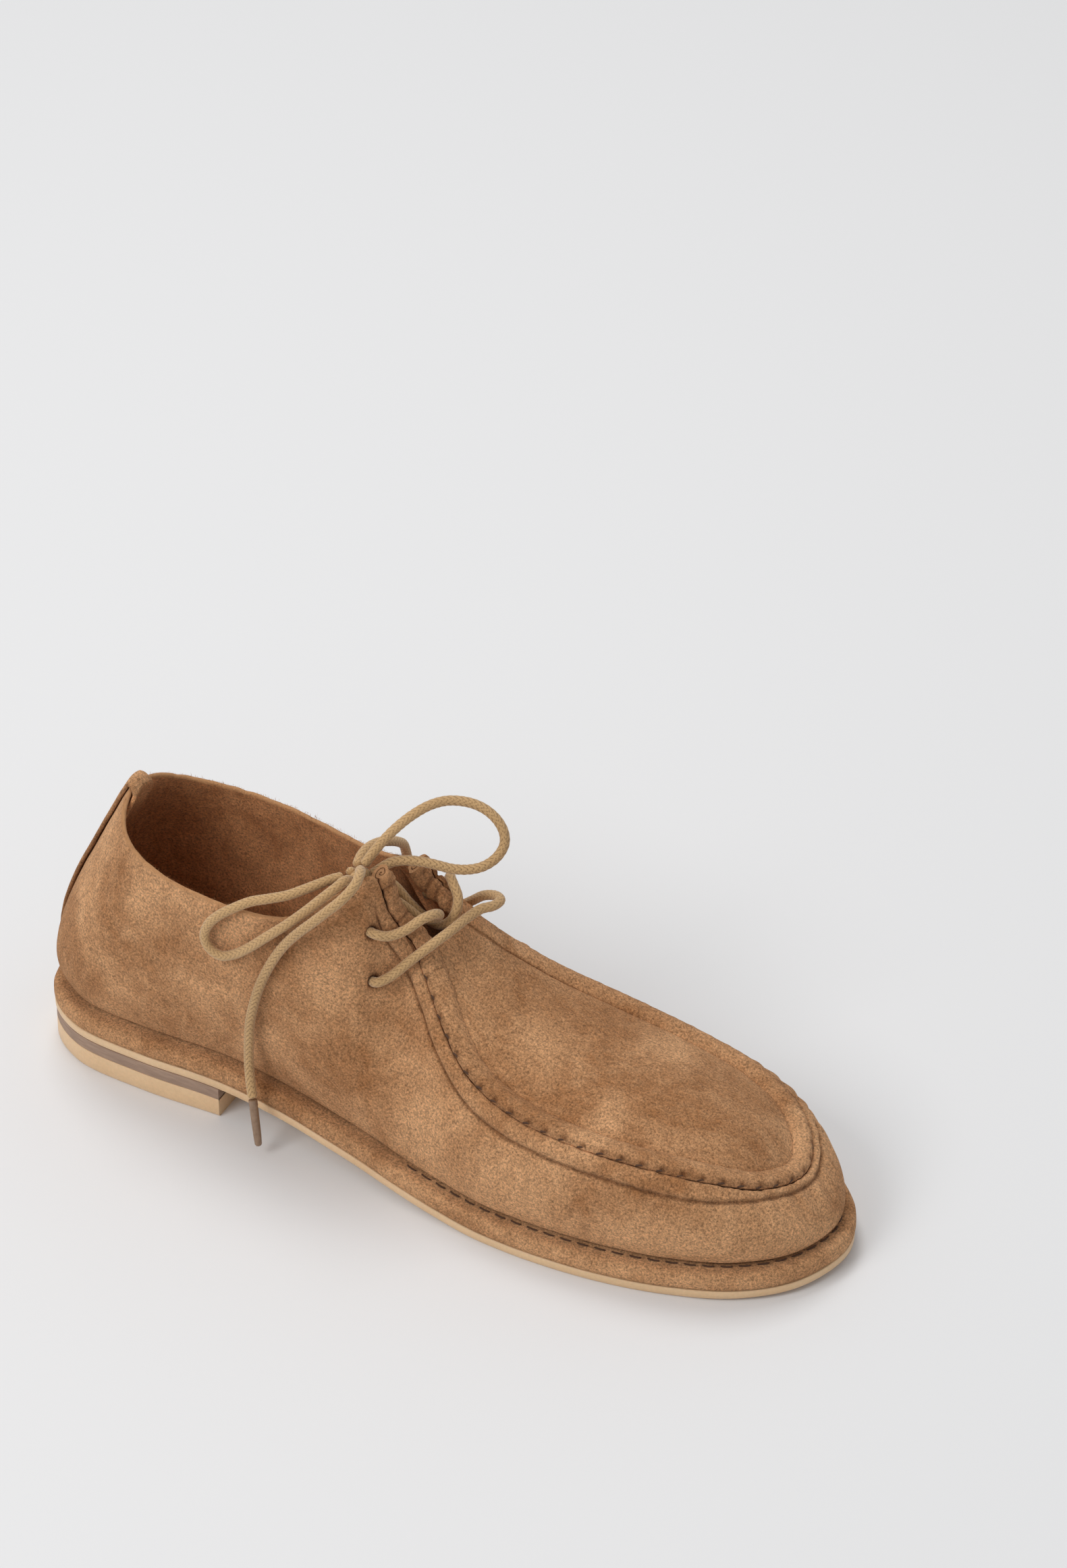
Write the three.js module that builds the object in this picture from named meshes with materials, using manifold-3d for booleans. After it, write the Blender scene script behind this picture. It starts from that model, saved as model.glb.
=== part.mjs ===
// A right-foot lace-up moccasin with a hand-sewn apron, a suede-wrapped platform and a low stacked heel.
// Millimetres, +X to the toe, +Y to the inner (medial) side, +Z up. The floor is z = 0.
import * as THREE from 'three';
import { mergeVertices } from 'three/addons/utils/BufferGeometryUtils.js';
import Module from 'manifold-3d';

// Driving dimensions
const LENGTH = 300;          // platform, heel to toe
const BALL_WIDTH = 101;      // platform across the ball
const UPPER_HEIGHT = 96;     // top of the lateral facing above the platform
const HEEL_LENGTH = 77;      // heel back to its straight breast
const TOP_PIECE = 7.8;       // rubber top piece of the heel
const LIFT = 5.2;            // leatherboard lift above it
const OUTSOLE = 3.3;
const PLATFORM = 7;
const TOE_SPRING = 2.3;
const PLATFORM_EDGE = 6;     // ledge of platform that shows outside the upper
const SUEDE = 1.8;           // upper leather
const WRAP = 1.5;            // suede that covers the platform
const WRAP_FLANGE = 15;      // how far the wrap reaches in over the platform's top
const BOARD = 2;             // insole board
const SOCK = 1.2;            // sock lining
const STIFFENER = 1.2;       // toe puff
const SHANK_WIDTH = 12;
const SHANK_LENGTH = 96;
const RIB = 6.4;             // rolled rib round the apron, diameter
const ROLL = 8;              // gathered top of the facing rolls, diameter
const LACE = 3.5;            // round lace, diameter
const EYELET = 4.6;          // punched eyelet, diameter
const KNOT = 7.6;            // bow knot, diameter
const AGLET_LENGTH = 17;
const AGLET = 3.1;           // aglet, diameter
const THREAD = 1.1;          // waxed sewing thread, diameter
const BACKSTAY_WIDTH = 11;
const TAB_WIDTH = 22;        // the backstay's end, folded over the collar
const TAB_DROP = 17;         // how far the folded end hangs inside
const NAIL = 2;              // heel nails, shank diameter
const NAIL_HEAD = 5;
const NAIL_HEAD_THICKNESS = 0.9;
const SEAT = 0.3;            // gap between pieces that touch

// The last: for each station round the shoe, the platform's edge (x, y) and the upper's top line
// (x, y, height above the platform), for a last of the nominal size in LAST.
const LAST = { length: 300, width: 101, height: 96 };
const STATIONS = [
  [0, -0.5, 28.5, 0, 82.5],
  [3, -19, 30, -11, 79.5],
  [18, -31, 36.5, -21, 75.5],
  [46, -34.7, 52, -28.5, 71.5],
  [80, -34.5, 78, -32, 70.5],
  [106, -36.3, 103, -31, 75],
  [121, -38.5, 118, -25.5, 86.5],
  [131, -40, 130, -17, 96],
  [138, -41.3, 135, -15, 82],
  [146, -43, 142, -13.5, 70.5],
  [156, -45, 150, -18, 61.5],
  [168, -47.2, 159, -25, 53],
  [184, -49.8, 172, -32.5, 44],
  [206, -51, 192, -38, 38.5],
  [230, -49.5, 218, -40, 36.5],
  [253, -45, 243, -37.5, 35],
  [276, -36.5, 263, -31, 31.5],
  [292.5, -22.5, 277, -19, 25],
  [300, -2, 283.5, -1, 20.3],
  [295.5, 13.5, 279.5, 13, 22],
  [281, 29, 268, 25, 26],
  [259, 43.5, 250, 32.5, 30],
  [232, 50, 225, 34.5, 35],
  [206, 50, 198, 32.5, 41.5],
  [184, 47, 176, 27, 50],
  [168, 42.8, 160, 20.5, 60],
  [156, 40, 151, 16.5, 67.5],
  [146, 37.8, 144, 14.5, 72.5],
  [138, 36.4, 138, 13.5, 77.5],
  [130, 35.5, 130, 14, 82.5],
  [118, 34.7, 117, 18, 76],
  [104, 34.2, 103, 22.5, 71],
  [80, 34.3, 79, 27, 69],
  [48, 35, 54, 26.5, 70],
  [19, 29.5, 37.5, 20, 74],
  [4, 17.5, 30.5, 10.5, 79],
];
const TURN = STATIONS.length;
const TOE = TURN / 2;

// The wall's section at a few stations, heel to toe: [station, out and up of the low handle,
// out and down of the high handle], as shares of the wall's height.
const BULGE = [
  [0, 0.17, 0.11, 0.21, 0.40],
  [4, 0.11, 0.22, 0.07, 0.38],
  [8, 0.08, 0.28, 0.13, 0.30],
  [13, 0.17, 0.28, 0.21, 0.25],
  [TOE, 0.27, 0.28, 0.28, 0.20],
];

// Stations where the pieces of the upper end
const BACK_SEAM = 0.02;
const SEAM_BASE = 26.6;
const SEAM_TOP = 24.7;
const RIB_START = 9.6;
const ROLL_TOP = 7.6;

const HEEL_HEIGHT = TOP_PIECE + LIFT;
const WAIST_BACK = 0.2 * LENGTH;
const WAIST_FRONT = 0.633 * LENGTH;
const SPRING_START = 0.783 * LENGTH;
const lateralSide = { sign: 1, at: (station) => station };
const medialSide = { sign: -1, at: (station) => TURN - station };

const edgeCurve = new THREE.CatmullRomCurve3(STATIONS.map(([x, y]) =>
  new THREE.Vector3(x * LENGTH / LAST.length, y * BALL_WIDTH / LAST.width, 0)), true);
const topCurve = new THREE.CatmullRomCurve3(STATIONS.map(([, , x, y, height]) =>
  new THREE.Vector3(x * LENGTH / LAST.length, y * BALL_WIDTH / LAST.width,
    height * UPPER_HEIGHT / LAST.height)), true);

const wrapTurn = (station) => ((station % TURN) + TURN) % TURN / TURN;
const smooth = (t) => THREE.MathUtils.smoothstep(t, 0, 1);

// Underside of the outsole: flat over the heel, down through the waist, up a little at the toe.
function soleBottom(x) {
  const waist = smooth((x - WAIST_BACK) / (WAIST_FRONT - WAIST_BACK));
  const spring = Math.max(0, (x - SPRING_START) / (LENGTH - SPRING_START));
  return HEEL_HEIGHT * (1 - waist) + TOE_SPRING * spring * spring;
}
const soleTop = (x) => soleBottom(x) + OUTSOLE;
const platformTop = (x) => soleTop(x) + PLATFORM;

function plan(curve, station) {
  const at = curve.getPoint(wrapTurn(station));
  const step = curve.getPoint(wrapTurn(station + 0.02)).sub(curve.getPoint(wrapTurn(station - 0.02)));
  return { at, out: new THREE.Vector3(step.y, -step.x, 0).normalize() };
}

// A point of the platform's edge, moved inwards, at a height given by a function of x.
function edgePoint(station, inset, height) {
  const { at, out } = plan(edgeCurve, station);
  const point = at.addScaledVector(out, -inset);
  point.z = height(point.x);
  return point;
}

// A point of the upper's top line, moved inwards in plan and up.
function rimPoint(station, inward, up) {
  const { at, out } = plan(topCurve, station);
  const point = at.clone().addScaledVector(out, -inward);
  point.z = at.z + platformTop(at.x) + up;
  return point;
}

function bulgeAt(station) {
  const along = Math.min(wrapTurn(station), 1 - wrapTurn(station)) * TURN;
  const next = BULGE.findIndex(([key]) => key > along);
  if (next < 0) return BULGE[BULGE.length - 1].slice(1);
  const [low, high] = [BULGE[next - 1], BULGE[next]];
  const share = smooth((along - low[0]) / (high[0] - low[0]));
  return low.slice(1).map((value, i) => THREE.MathUtils.lerp(value, high[i + 1], share));
}

// Outer face of the upper's wall: v runs from the platform (0) to the top line (1).
function wallPoint(station, v) {
  const base = edgePoint(station, PLATFORM_EDGE, (x) => platformTop(x) + SEAT);
  const top = rimPoint(station, 0, 0);
  const { out } = plan(edgeCurve, station);
  const height = base.distanceTo(top);
  const [outLow, upLow, outHigh, downHigh] = bulgeAt(station).map((share) => share * height);
  const up = new THREE.Vector3(0, 0, 1);
  const low = base.clone().addScaledVector(out, outLow).addScaledVector(up, upLow);
  const high = top.clone().addScaledVector(out, outHigh).addScaledVector(up, -downHigh);
  return new THREE.CubicBezierCurve3(base, low, high, top).getPoint(v);
}

function wallNormal(station, v) {
  const [low, high] = [Math.max(0, v - 0.01), Math.min(1, v + 0.01)];
  const along = wallPoint(station + 0.05, v).sub(wallPoint(station - 0.05, v));
  const upward = wallPoint(station, high).sub(wallPoint(station, low));
  return along.cross(upward).normalize();
}

const wallOffset = (station, v, outward) =>
  wallPoint(station, v).addScaledVector(wallNormal(station, v), outward);

// A closed solid through rings of points. The rings' first and last are capped by strips that pair
// a ring's points from both ends, or the last ring joins the first.
function loft(rings, closed = false) {
  const count = rings[0].length;
  const index = [];
  const bands = closed ? rings.length : rings.length - 1;
  for (let i = 0; i < bands; i++) {
    const [here, there] = [i * count, ((i + 1) % rings.length) * count];
    for (let j = 0; j < count; j++) {
      const next = (j + 1) % count;
      index.push(here + j, here + next, there + next, here + j, there + next, there + j);
    }
  }
  if (!closed) {
    const last = (rings.length - 1) * count;
    for (let j = 0; j < count / 2 - 1; j++) {
      const [a, b, c, d] = [j, j + 1, count - 2 - j, count - 1 - j];
      index.push(a, c, b, a, d, c);
      index.push(last + a, last + b, last + c, last + a, last + c, last + d);
    }
  }
  const geometry = new THREE.BufferGeometry();
  const positions = rings.flat().flatMap((point) => [point.x, point.y, point.z]);
  geometry.setAttribute('position', new THREE.Float32BufferAttribute(positions, 3));
  geometry.setIndex(index);
  return faceOutwards(mergeVertices(geometry, 1e-4));
}

function faceOutwards(geometry) {
  const position = geometry.getAttribute('position');
  const index = geometry.index.array;
  const [a, b, c] = [new THREE.Vector3(), new THREE.Vector3(), new THREE.Vector3()];
  let volume = 0;
  for (let i = 0; i < index.length; i += 3) {
    a.fromBufferAttribute(position, index[i]);
    b.fromBufferAttribute(position, index[i + 1]);
    c.fromBufferAttribute(position, index[i + 2]);
    volume += a.dot(b.cross(c));
  }
  if (volume < 0) {
    for (let i = 0; i < index.length; i += 3) [index[i + 1], index[i + 2]] = [index[i + 2], index[i + 1]];
  }
  return geometry;
}

const range = (count, make) => Array.from({ length: count }, (_, i) => make(i));
const between = (count, from, to) => range(count + 1, (i) => THREE.MathUtils.lerp(from, to, i / count));

// A layer of the sole: the edge's outline, inset, between two heights.
function layer(inset, low, high, points = 72) {
  const ring = (height) => range(points, (i) => edgePoint((i + 0.5) * TURN / points, inset, height));
  return loft([ring(low), ring(high)]);
}

// A sheet on the wall between two stations and two heights, from one depth to another.
function wallSheet({ from, to, low, high, near, far, steps, rows }) {
  return loft(range(steps + 1, (i) => {
    const stationAt = (v) => THREE.MathUtils.lerp(from(v), to(v), i / steps);
    const heights = between(rows, low, high);
    return [...heights.map((v) => wallOffset(stationAt(v), v, -near)),
      ...heights.reverse().map((v) => wallOffset(stationAt(v), v, -far))];
  }));
}

// A round bar along points, whose radius may change along its length.
function bar(points, radiusAt, sides, steps) {
  const path = new THREE.CatmullRomCurve3(points);
  const frames = path.computeFrenetFrames(steps);
  return loft(range(steps + 1, (i) => {
    const centre = path.getPointAt(i / steps);
    const radius = radiusAt(i / steps);
    return range(sides, (k) => {
      const angle = (k + 0.5) * 2 * Math.PI / sides;
      return centre.clone().addScaledVector(frames.normals[i], radius * Math.cos(angle))
        .addScaledVector(frames.binormals[i], radius * Math.sin(angle));
    });
  }));
}

// A cord or thread of one diameter along points.
function cord(points, diameter, sides, pitch) {
  const path = new THREE.CatmullRomCurve3(points);
  const section = new THREE.Shape(range(sides, (k) => {
    const angle = (k + 0.5) * 2 * Math.PI / sides;
    return new THREE.Vector2(diameter / 2 * Math.cos(angle), diameter / 2 * Math.sin(angle));
  }));
  const steps = Math.min(80, Math.max(4, Math.round(path.getLength() / pitch)));
  return new THREE.ExtrudeGeometry(section, { steps, extrudePath: path, bevelEnabled: false });
}

// Boolean cuts
const wasm = await Module();
wasm.setup();
function solid(geometry) {
  const bare = geometry.clone();
  bare.deleteAttribute('normal');
  bare.deleteAttribute('uv');
  const merged = mergeVertices(bare, 1e-4);
  return new wasm.Manifold(new wasm.Mesh({
    numProp: 3,
    vertProperties: new Float32Array(merged.getAttribute('position').array),
    triVerts: new Uint32Array(merged.index.array),
  }));
}
function cut(geometry, tools) {
  const result = tools.reduce((body, tool) => body.subtract(solid(tool)), solid(geometry));
  const mesh = result.getMesh();
  const made = new THREE.BufferGeometry();
  made.setAttribute('position', new THREE.Float32BufferAttribute(mesh.vertProperties, 3));
  made.setIndex(new THREE.Uint32BufferAttribute(mesh.triVerts, 1));
  return made;
}

// Materials
const suede = { color: 0xa9763f, roughness: 0.95, metalness: 0 };
const darkSuede = { color: 0x7d5531, roughness: 0.95, metalness: 0 };
const crepe = { color: 0xd9b07c, roughness: 0.6, metalness: 0 };
const leatherboard = { color: 0x9c7f66, roughness: 0.8, metalness: 0 };
const cork = { color: 0x8f6a45, roughness: 0.9, metalness: 0 };
const steel = { color: 0x8d9094, roughness: 0.35, metalness: 1 };
const lace = { color: 0xa08d62, roughness: 0.9, metalness: 0 };
const thread = { color: 0x4a2c16, roughness: 0.8, metalness: 0 };
const aglet = { color: 0x8a6a44, roughness: 0.5, metalness: 0 };

const shoe = new THREE.Group();
// The frame's origin is on the floor, in the middle of the shoe without its free lace ends.
const outlineBox = new THREE.Box3().setFromPoints(range(72, (i) => edgePoint((i + 0.5) * TURN / 72, 0, () => 0)));
shoe.position.set(-(outlineBox.min.x + outlineBox.max.x) / 2, -(outlineBox.min.y + outlineBox.max.y) / 2, 0);

function add(name, geometry, finish) {
  const mesh = new THREE.Mesh(geometry, new THREE.MeshStandardMaterial(finish));
  mesh.name = name;
  shoe.add(mesh);
}

// Heel nails, driven down from the platform's core into the top piece
const NAIL_SITES = [[0.35, 0], [0.55, -0.5], [0.55, 0.5], [0.85, -0.5], [0.85, 0.5]].map(([along, across]) =>
  [along * HEEL_LENGTH, across * 0.28 * BALL_WIDTH]);
const coreTop = (x) => platformTop(x) - WRAP - SEAT;
const nailTip = TOP_PIECE * 0.5;
function post(x, y, low, high, diameter) {
  const geometry = new THREE.CylinderGeometry(diameter / 2, diameter / 2, high - low, 8);
  return geometry.rotateX(Math.PI / 2).translate(x, y, (low + high) / 2);
}
const nailHoles = NAIL_SITES.map(([x, y]) => post(x, y, nailTip - SEAT, platformTop(x), NAIL + 2 * SEAT));
const headHoles = NAIL_SITES.map(([x, y]) =>
  post(x, y, coreTop(x) - SEAT, platformTop(x) + SEAT, NAIL_HEAD + 2 * SEAT));

NAIL_SITES.forEach(([x, y], i) => {
  const headLow = coreTop(x) + 0.1;
  const profile = [[0, nailTip], [NAIL / 2, nailTip], [NAIL / 2, headLow], [NAIL_HEAD / 2, headLow],
    [NAIL_HEAD / 2, headLow + NAIL_HEAD_THICKNESS], [0, headLow + NAIL_HEAD_THICKNESS]];
  const geometry = new THREE.LatheGeometry(profile.map(([r, z]) => new THREE.Vector2(r, z)), 8);
  add(`heel_nail_${i + 1}`, geometry.rotateX(Math.PI / 2).translate(x, y, 0), steel);
});

// The heel's outline: the sole's edge back from the straight breast.
function heelBlock(low, high) {
  const behind = range(60, (i) => edgePoint((i + 0.5) * TURN / 60, 0.6, () => 0)).filter(({ x }) => x < HEEL_LENGTH);
  const lateral = behind.filter(({ y }) => y < 0);
  const medial = behind.filter(({ y }) => y >= 0).reverse();
  const count = Math.min(lateral.length, medial.length);
  const breast = [lateral[count - 1], medial[count - 1]].map(({ y }) => new THREE.Vector3(HEEL_LENGTH, y, 0));
  const outline = [...lateral.slice(0, count), breast[0], breast[1], ...medial.slice(0, count).reverse()];
  const ring = (height) => outline.map(({ x, y }) => new THREE.Vector3(x, y, height(x)));
  return loft([ring(low), ring(high)]);
}
add('heel_top_piece', cut(heelBlock(() => 0, () => TOP_PIECE), nailHoles), crepe);
add('heel_lift', cut(heelBlock(() => TOP_PIECE, (x) => soleBottom(x) - SEAT), nailHoles), leatherboard);
add('outsole', cut(layer(0.4, soleBottom, soleTop), nailHoles), crepe);

// Platform: a core, the suede wrapped over its edge, the steel shank and the filler round it.
add('platform_core', cut(layer(WRAP + SEAT, (x) => soleTop(x) + SEAT, coreTop), nailHoles), leatherboard);
{
  const corner = 2.6;
  const section = [[0.5, SEAT], [0, SEAT + 1.5], [0, PLATFORM - corner], [corner * 0.3, PLATFORM - corner * 0.3],
    [corner, PLATFORM], [WRAP_FLANGE, PLATFORM], [WRAP_FLANGE, PLATFORM - WRAP], [WRAP, PLATFORM - WRAP],
    [WRAP, 2 * SEAT]];
  const rings = range(72, (i) => section.map(([inset, height]) =>
    edgePoint((i + 0.5) * TURN / 72, inset, (x) => soleTop(x) + height)));
  add('platform_wrap', loft(rings, true), suede);
}
const shankBack = 0.19 * LENGTH;
function shankStrip(clearance, low, high) {
  const half = SHANK_WIDTH / 2 + clearance;
  return loft(between(12, shankBack - clearance, shankBack + SHANK_LENGTH + clearance).map((x) =>
    [[-half, low], [half, low], [half, high], [-half, high]].map(([y, height]) =>
      new THREE.Vector3(x, y, height(x)))));
}
const shankLow = (x) => coreTop(x) + SEAT;
const shankHigh = (x) => platformTop(x) - SEAT;
add('shank', shankStrip(0, shankLow, shankHigh), steel);
add('cork_filler', cut(layer(WRAP_FLANGE + SEAT, shankLow, shankHigh),
  [shankStrip(SEAT, (x) => coreTop(x) - 1, (x) => platformTop(x) + 1), ...headHoles]), cork);

// Footbed, inside the upper's wall and its stiffeners
const FOOTBED_INSET = PLATFORM_EDGE + SUEDE + STIFFENER + 5 * SEAT;
const boardLow = (x) => platformTop(x) + SEAT;
const boardHigh = (x) => boardLow(x) + BOARD;
const sockLow = (x) => boardHigh(x) + SEAT;
add('insole_board', layer(FOOTBED_INSET, boardLow, boardHigh), leatherboard);
add('sock_lining', layer(FOOTBED_INSET + SEAT, sockLow, (x) => sockLow(x) + SOCK), darkSuede);

// Upper: the outer piece runs from the back seam round the toe to the medial seam, the inner quarter
// goes from there back to the heel. Both have two punched eyelets.
const EYELET_SITES = [[7.45, 0.84], [7.95, 0.72]];
const eyeletPlace = (side, [station, v]) => ({
  at: wallPoint(side.at(station), v),
  out: wallNormal(side.at(station), v),
});
function eyeletPunch(side, site) {
  const { at, out } = eyeletPlace(side, site);
  const punch = new THREE.CylinderGeometry(EYELET / 2, EYELET / 2, 6 * SUEDE, 10);
  const turn = new THREE.Quaternion().setFromUnitVectors(new THREE.Vector3(0, 1, 0), out);
  return punch.applyQuaternion(turn).translate(at.x, at.y, at.z);
}
const seamAt = (v) => THREE.MathUtils.lerp(SEAM_BASE, SEAM_TOP, v);
const suedeWall = { low: 0, high: 1, near: 0, far: SUEDE };
add('outer_quarter_and_toe', cut(wallSheet({
  ...suedeWall, from: () => BACK_SEAM, to: (v) => seamAt(v) - BACK_SEAM, steps: 76, rows: 8,
}), EYELET_SITES.map((site) => eyeletPunch(lateralSide, site))), suede);
add('inner_quarter', cut(wallSheet({
  ...suedeWall, from: (v) => seamAt(v) + BACK_SEAM, to: () => TURN - BACK_SEAM, steps: 32, rows: 8,
}), EYELET_SITES.map((site) => eyeletPunch(medialSide, site))), suede);
const lining = { near: SUEDE + 2 * SEAT, far: SUEDE + 2 * SEAT + STIFFENER, rows: 6 };
add('toe_puff', wallSheet({ ...lining, from: () => TOE - 2.6, to: () => TOE + 2.6, low: 0.06, high: 0.84, steps: 18 }),
  leatherboard);

// Backstay: a strip up the back seam, folded over the collar and stitched inside as a tab
{
  const across = [-1, -0.5, 0, 0.5, 1];
  // One ring across the strip: its face on the wall and its far face, both by their distance out of
  // the wall and up from it.
  const strip = (v, width, near, far, upNear = 0, upFar = 0) => {
    const perStation = wallPoint(1, v).distanceTo(wallPoint(0, v));
    const face = (outward, up) => across.map((share) => {
      const point = wallOffset(share * width / 2 / perStation, v, outward);
      return point.setZ(point.z + up);
    });
    return [...face(near, upNear), ...face(far, upFar).reverse()];
  };
  const wallTop = wallPoint(0, 1);
  const insideShare = TAB_DROP / (wallTop.z - platformTop(wallTop.x));
  const gap = 1.5 * SEAT;
  const inside = SUEDE + gap;
  const round = 0.7 * WRAP;
  const fold = (BACKSTAY_WIDTH + TAB_WIDTH) / 2;
  const rings = [
    ...between(9, 0.09, 0.99).map((v) => strip(v, BACKSTAY_WIDTH, gap, gap + WRAP)),
    strip(1, BACKSTAY_WIDTH, gap, gap + round, gap, gap + round),
    strip(1, fold, -inside, -inside - round, gap, gap + round),
    ...between(3, 0.99, 1 - insideShare).map((v) => strip(v, TAB_WIDTH, -inside, -inside - WRAP)),
  ];
  add('backstay', loft(rings), darkSuede);
}

// Apron, with the raised rib that the hand stitches pinch up round it
const ribRadius = RIB / 2;
const ribInward = SUEDE + SEAT + ribRadius;
const ribCentre = (station) => rimPoint(station, ribInward, 0.4 * ribRadius);
{
  const stations = between(44, RIB_START, TURN - RIB_START);
  add('apron_rib', bar(stations.map(ribCentre), () => ribRadius, 8, 64), suede);
  const inward = ribInward + ribRadius + SEAT;
  const across = 10;
  const rings = between(22, 0, 0.96).map((share) => {
    const station = THREE.MathUtils.lerp(RIB_START, TOE, share);
    const [left, right] = [rimPoint(station, inward, 0), rimPoint(TURN - station, inward, 0)];
    const crown = 0.13 * left.distanceTo(right);
    const top = between(across, 0, 1).map((w) => {
      const point = left.clone().lerp(right, w);
      point.z += crown * (1 - (2 * w - 1) ** 2);
      return point;
    });
    const under = top.map((point) => point.clone().setZ(point.z - SUEDE)).reverse();
    return [...top, ...under];
  });
  add('apron', loft(rings), suede);
}

// Facing rolls: the rib's two ends, gathered and rolled, up to the collar
function rollCentre(station) {
  const radius = rollRadius(station);
  return rimPoint(station, SUEDE + SEAT + radius, 0.2 * radius);
}
function rollRadius(station) {
  const along = Math.min(station, TURN - station);
  return THREE.MathUtils.mapLinear(along, ROLL_TOP, RIB_START, ROLL / 2, ribRadius);
}
for (const [name, side] of [['facing_roll_lateral', lateralSide], ['facing_roll_medial', medialSide]]) {
  const stations = between(8, ROLL_TOP, RIB_START - 0.12).map(side.at);
  add(name, bar(stations.map(rollCentre),
    (share) => rollRadius(THREE.MathUtils.lerp(ROLL_TOP, RIB_START, share)), 10, 10), suede);
}

// Tongue, sewn under the apron's end and lying below the rolls
{
  const throat = rimPoint(RIB_START, 0, 0).lerp(rimPoint(TURN - RIB_START, 0, 0), 0.5);
  const line = [[-1.5, -6.5, 11], [-7, -5.5, 12.5], [-15, 1, 13.5], [-22, 10.5, 14.5], [-28, 17.5, 15]];
  const rings = line.map(([x, z, half]) => {
    const face = between(6, -1, 1).map((share) => new THREE.Vector3(
      throat.x + x * LENGTH / LAST.length,
      throat.y + share * half * BALL_WIDTH / LAST.width,
      throat.z + (z - 2.5 * share * share) * UPPER_HEIGHT / LAST.height));
    const under = face.map((point) => point.clone().add(new THREE.Vector3(-0.6, 0, -1).setLength(SUEDE))).reverse();
    return [...face, ...under];
  });
  add('tongue', loft(rings), suede);
}

// Threads: hand stitches in the apron's seam, the welt seam round the toe, and the medial seam
const threadLift = THREAD / 2 + SEAT;
add('apron_thread', cord(between(50, RIB_START - 0.2, TURN - RIB_START + 0.2).map((station) =>
  rimPoint(station, 0.9, threadLift)), THREAD, 6, 5), thread);
add('welt_thread', cord(between(30, 12, TURN - 12).map((station) =>
  edgePoint(station, PLATFORM_EDGE - 2.6, (x) => platformTop(x) + threadLift)), THREAD, 6, 5), thread);
add('medial_seam_thread', cord(between(10, 0.12, 0.8).map((v) =>
  wallOffset(seamAt(v) - 0.25, v, threadLift)), THREAD, 6, 5), crepe);

// Lace: one round cord, cut into the stretches between the eyelets, the knot and the free ends.
// The bow's knot lies inside the collar, beside the top of the lateral roll.
const KNOT_PLACE = [121.4, -12.4, 105.8];
const knotAt = new THREE.Vector3(...KNOT_PLACE);
add('lace_knot', new THREE.SphereGeometry(KNOT / 2, 12, 8).translate(...KNOT_PLACE), lace);
const points = (list) => list.map((place) => new THREE.Vector3(...place));
const atKnot = (x, y, z) => knotAt.clone().add(new THREE.Vector3(x, y, z).setLength(KNOT / 2 + 2.5 * SEAT));
const throughEyelet = (side, site) => {
  const { at, out } = eyeletPlace(side, site);
  return [at.clone().addScaledVector(out, -SUEDE - 2), at.clone().addScaledVector(out, LACE / 2)];
};
const addLace = (name, route) => add(name, cord(route, LACE, 8, 2.2 * LACE / 3), lace);

addLace('lace_bar_lower', [
  ...throughEyelet(lateralSide, EYELET_SITES[1]),
  ...points([[139.3, -22.8, 77.8], [144.2, -17.8, 82.8], [149.2, -12.4, 87.4], [152.2, -4, 88.8], [154.2, 3.2, 89.6],
    [156.6, 8.8, 90.4], [159.4, 12.6, 90.2], [159.8, 16.6, 89.8], [156.6, 19.4, 88.6], [151.4, 21.2, 85.6],
    [146.4, 23, 80.6]]),
  ...throughEyelet(medialSide, EYELET_SITES[1]).reverse(),
]);
addLace('lace_strand_lateral', [
  ...throughEyelet(lateralSide, EYELET_SITES[0]),
  ...points([[136.8, -19.8, 91.8], [140.8, -15.3, 92.6], [144, -9.8, 94.4], [146, -5, 94], [146, -1, 91],
    [143, 0.8, 87], [139, -0.6, 86.4], [134.6, -2, 90], [130.6, -4.4, 94], [126.6, -8.4, 96], [124.2, -11, 98.6]]),
  atKnot(0.35, 0.1, -0.93),
]);
addLace('lace_strand_medial', [
  ...throughEyelet(medialSide, EYELET_SITES[0]),
  ...points([[138, 19.8, 88.2], [141, 16.4, 93], [143, 12.5, 96.6], [145.6, 9.8, 96.4], [148.6, 7.4, 93.4], [149.4, 4.4, 89.6],
    [147.6, 2.6, 85.8], [143, 3.6, 82.4], [138, 3.4, 84], [133, 2.2, 89], [127, 0.8, 96], [121.8, -4.4, 99.6]]),
  atKnot(0.05, 0.78, -0.62),
]);
addLace('lace_loop_lateral', [
  atKnot(-0.85, -0.5, 0.15),
  ...points([[114.6, -17.4, 106.2], [111.2, -21.2, 105.4], [107.6, -24.2, 104], [103, -27.2, 102],
    [97, -29.6, 100], [91, -31.4, 97.8], [85.4, -34, 94.6], [80.4, -35.6, 90.6], [77, -36.3, 86],
    [76, -36.9, 81.2], [78, -37.3, 77.4], [82.4, -37.6, 76], [87.4, -37.4, 78.2], [93, -37, 82.8],
    [99, -35.8, 88.6], [106.2, -33.8, 95.4], [112.6, -31.2, 102], [117.4, -29, 107.4], [120.8, -26, 110.8],
    [121.9, -22.4, 111.4], [121.8, -18.9, 109.4]]),
  atKnot(-0.03, -0.97, 0.25),
]);
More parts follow.
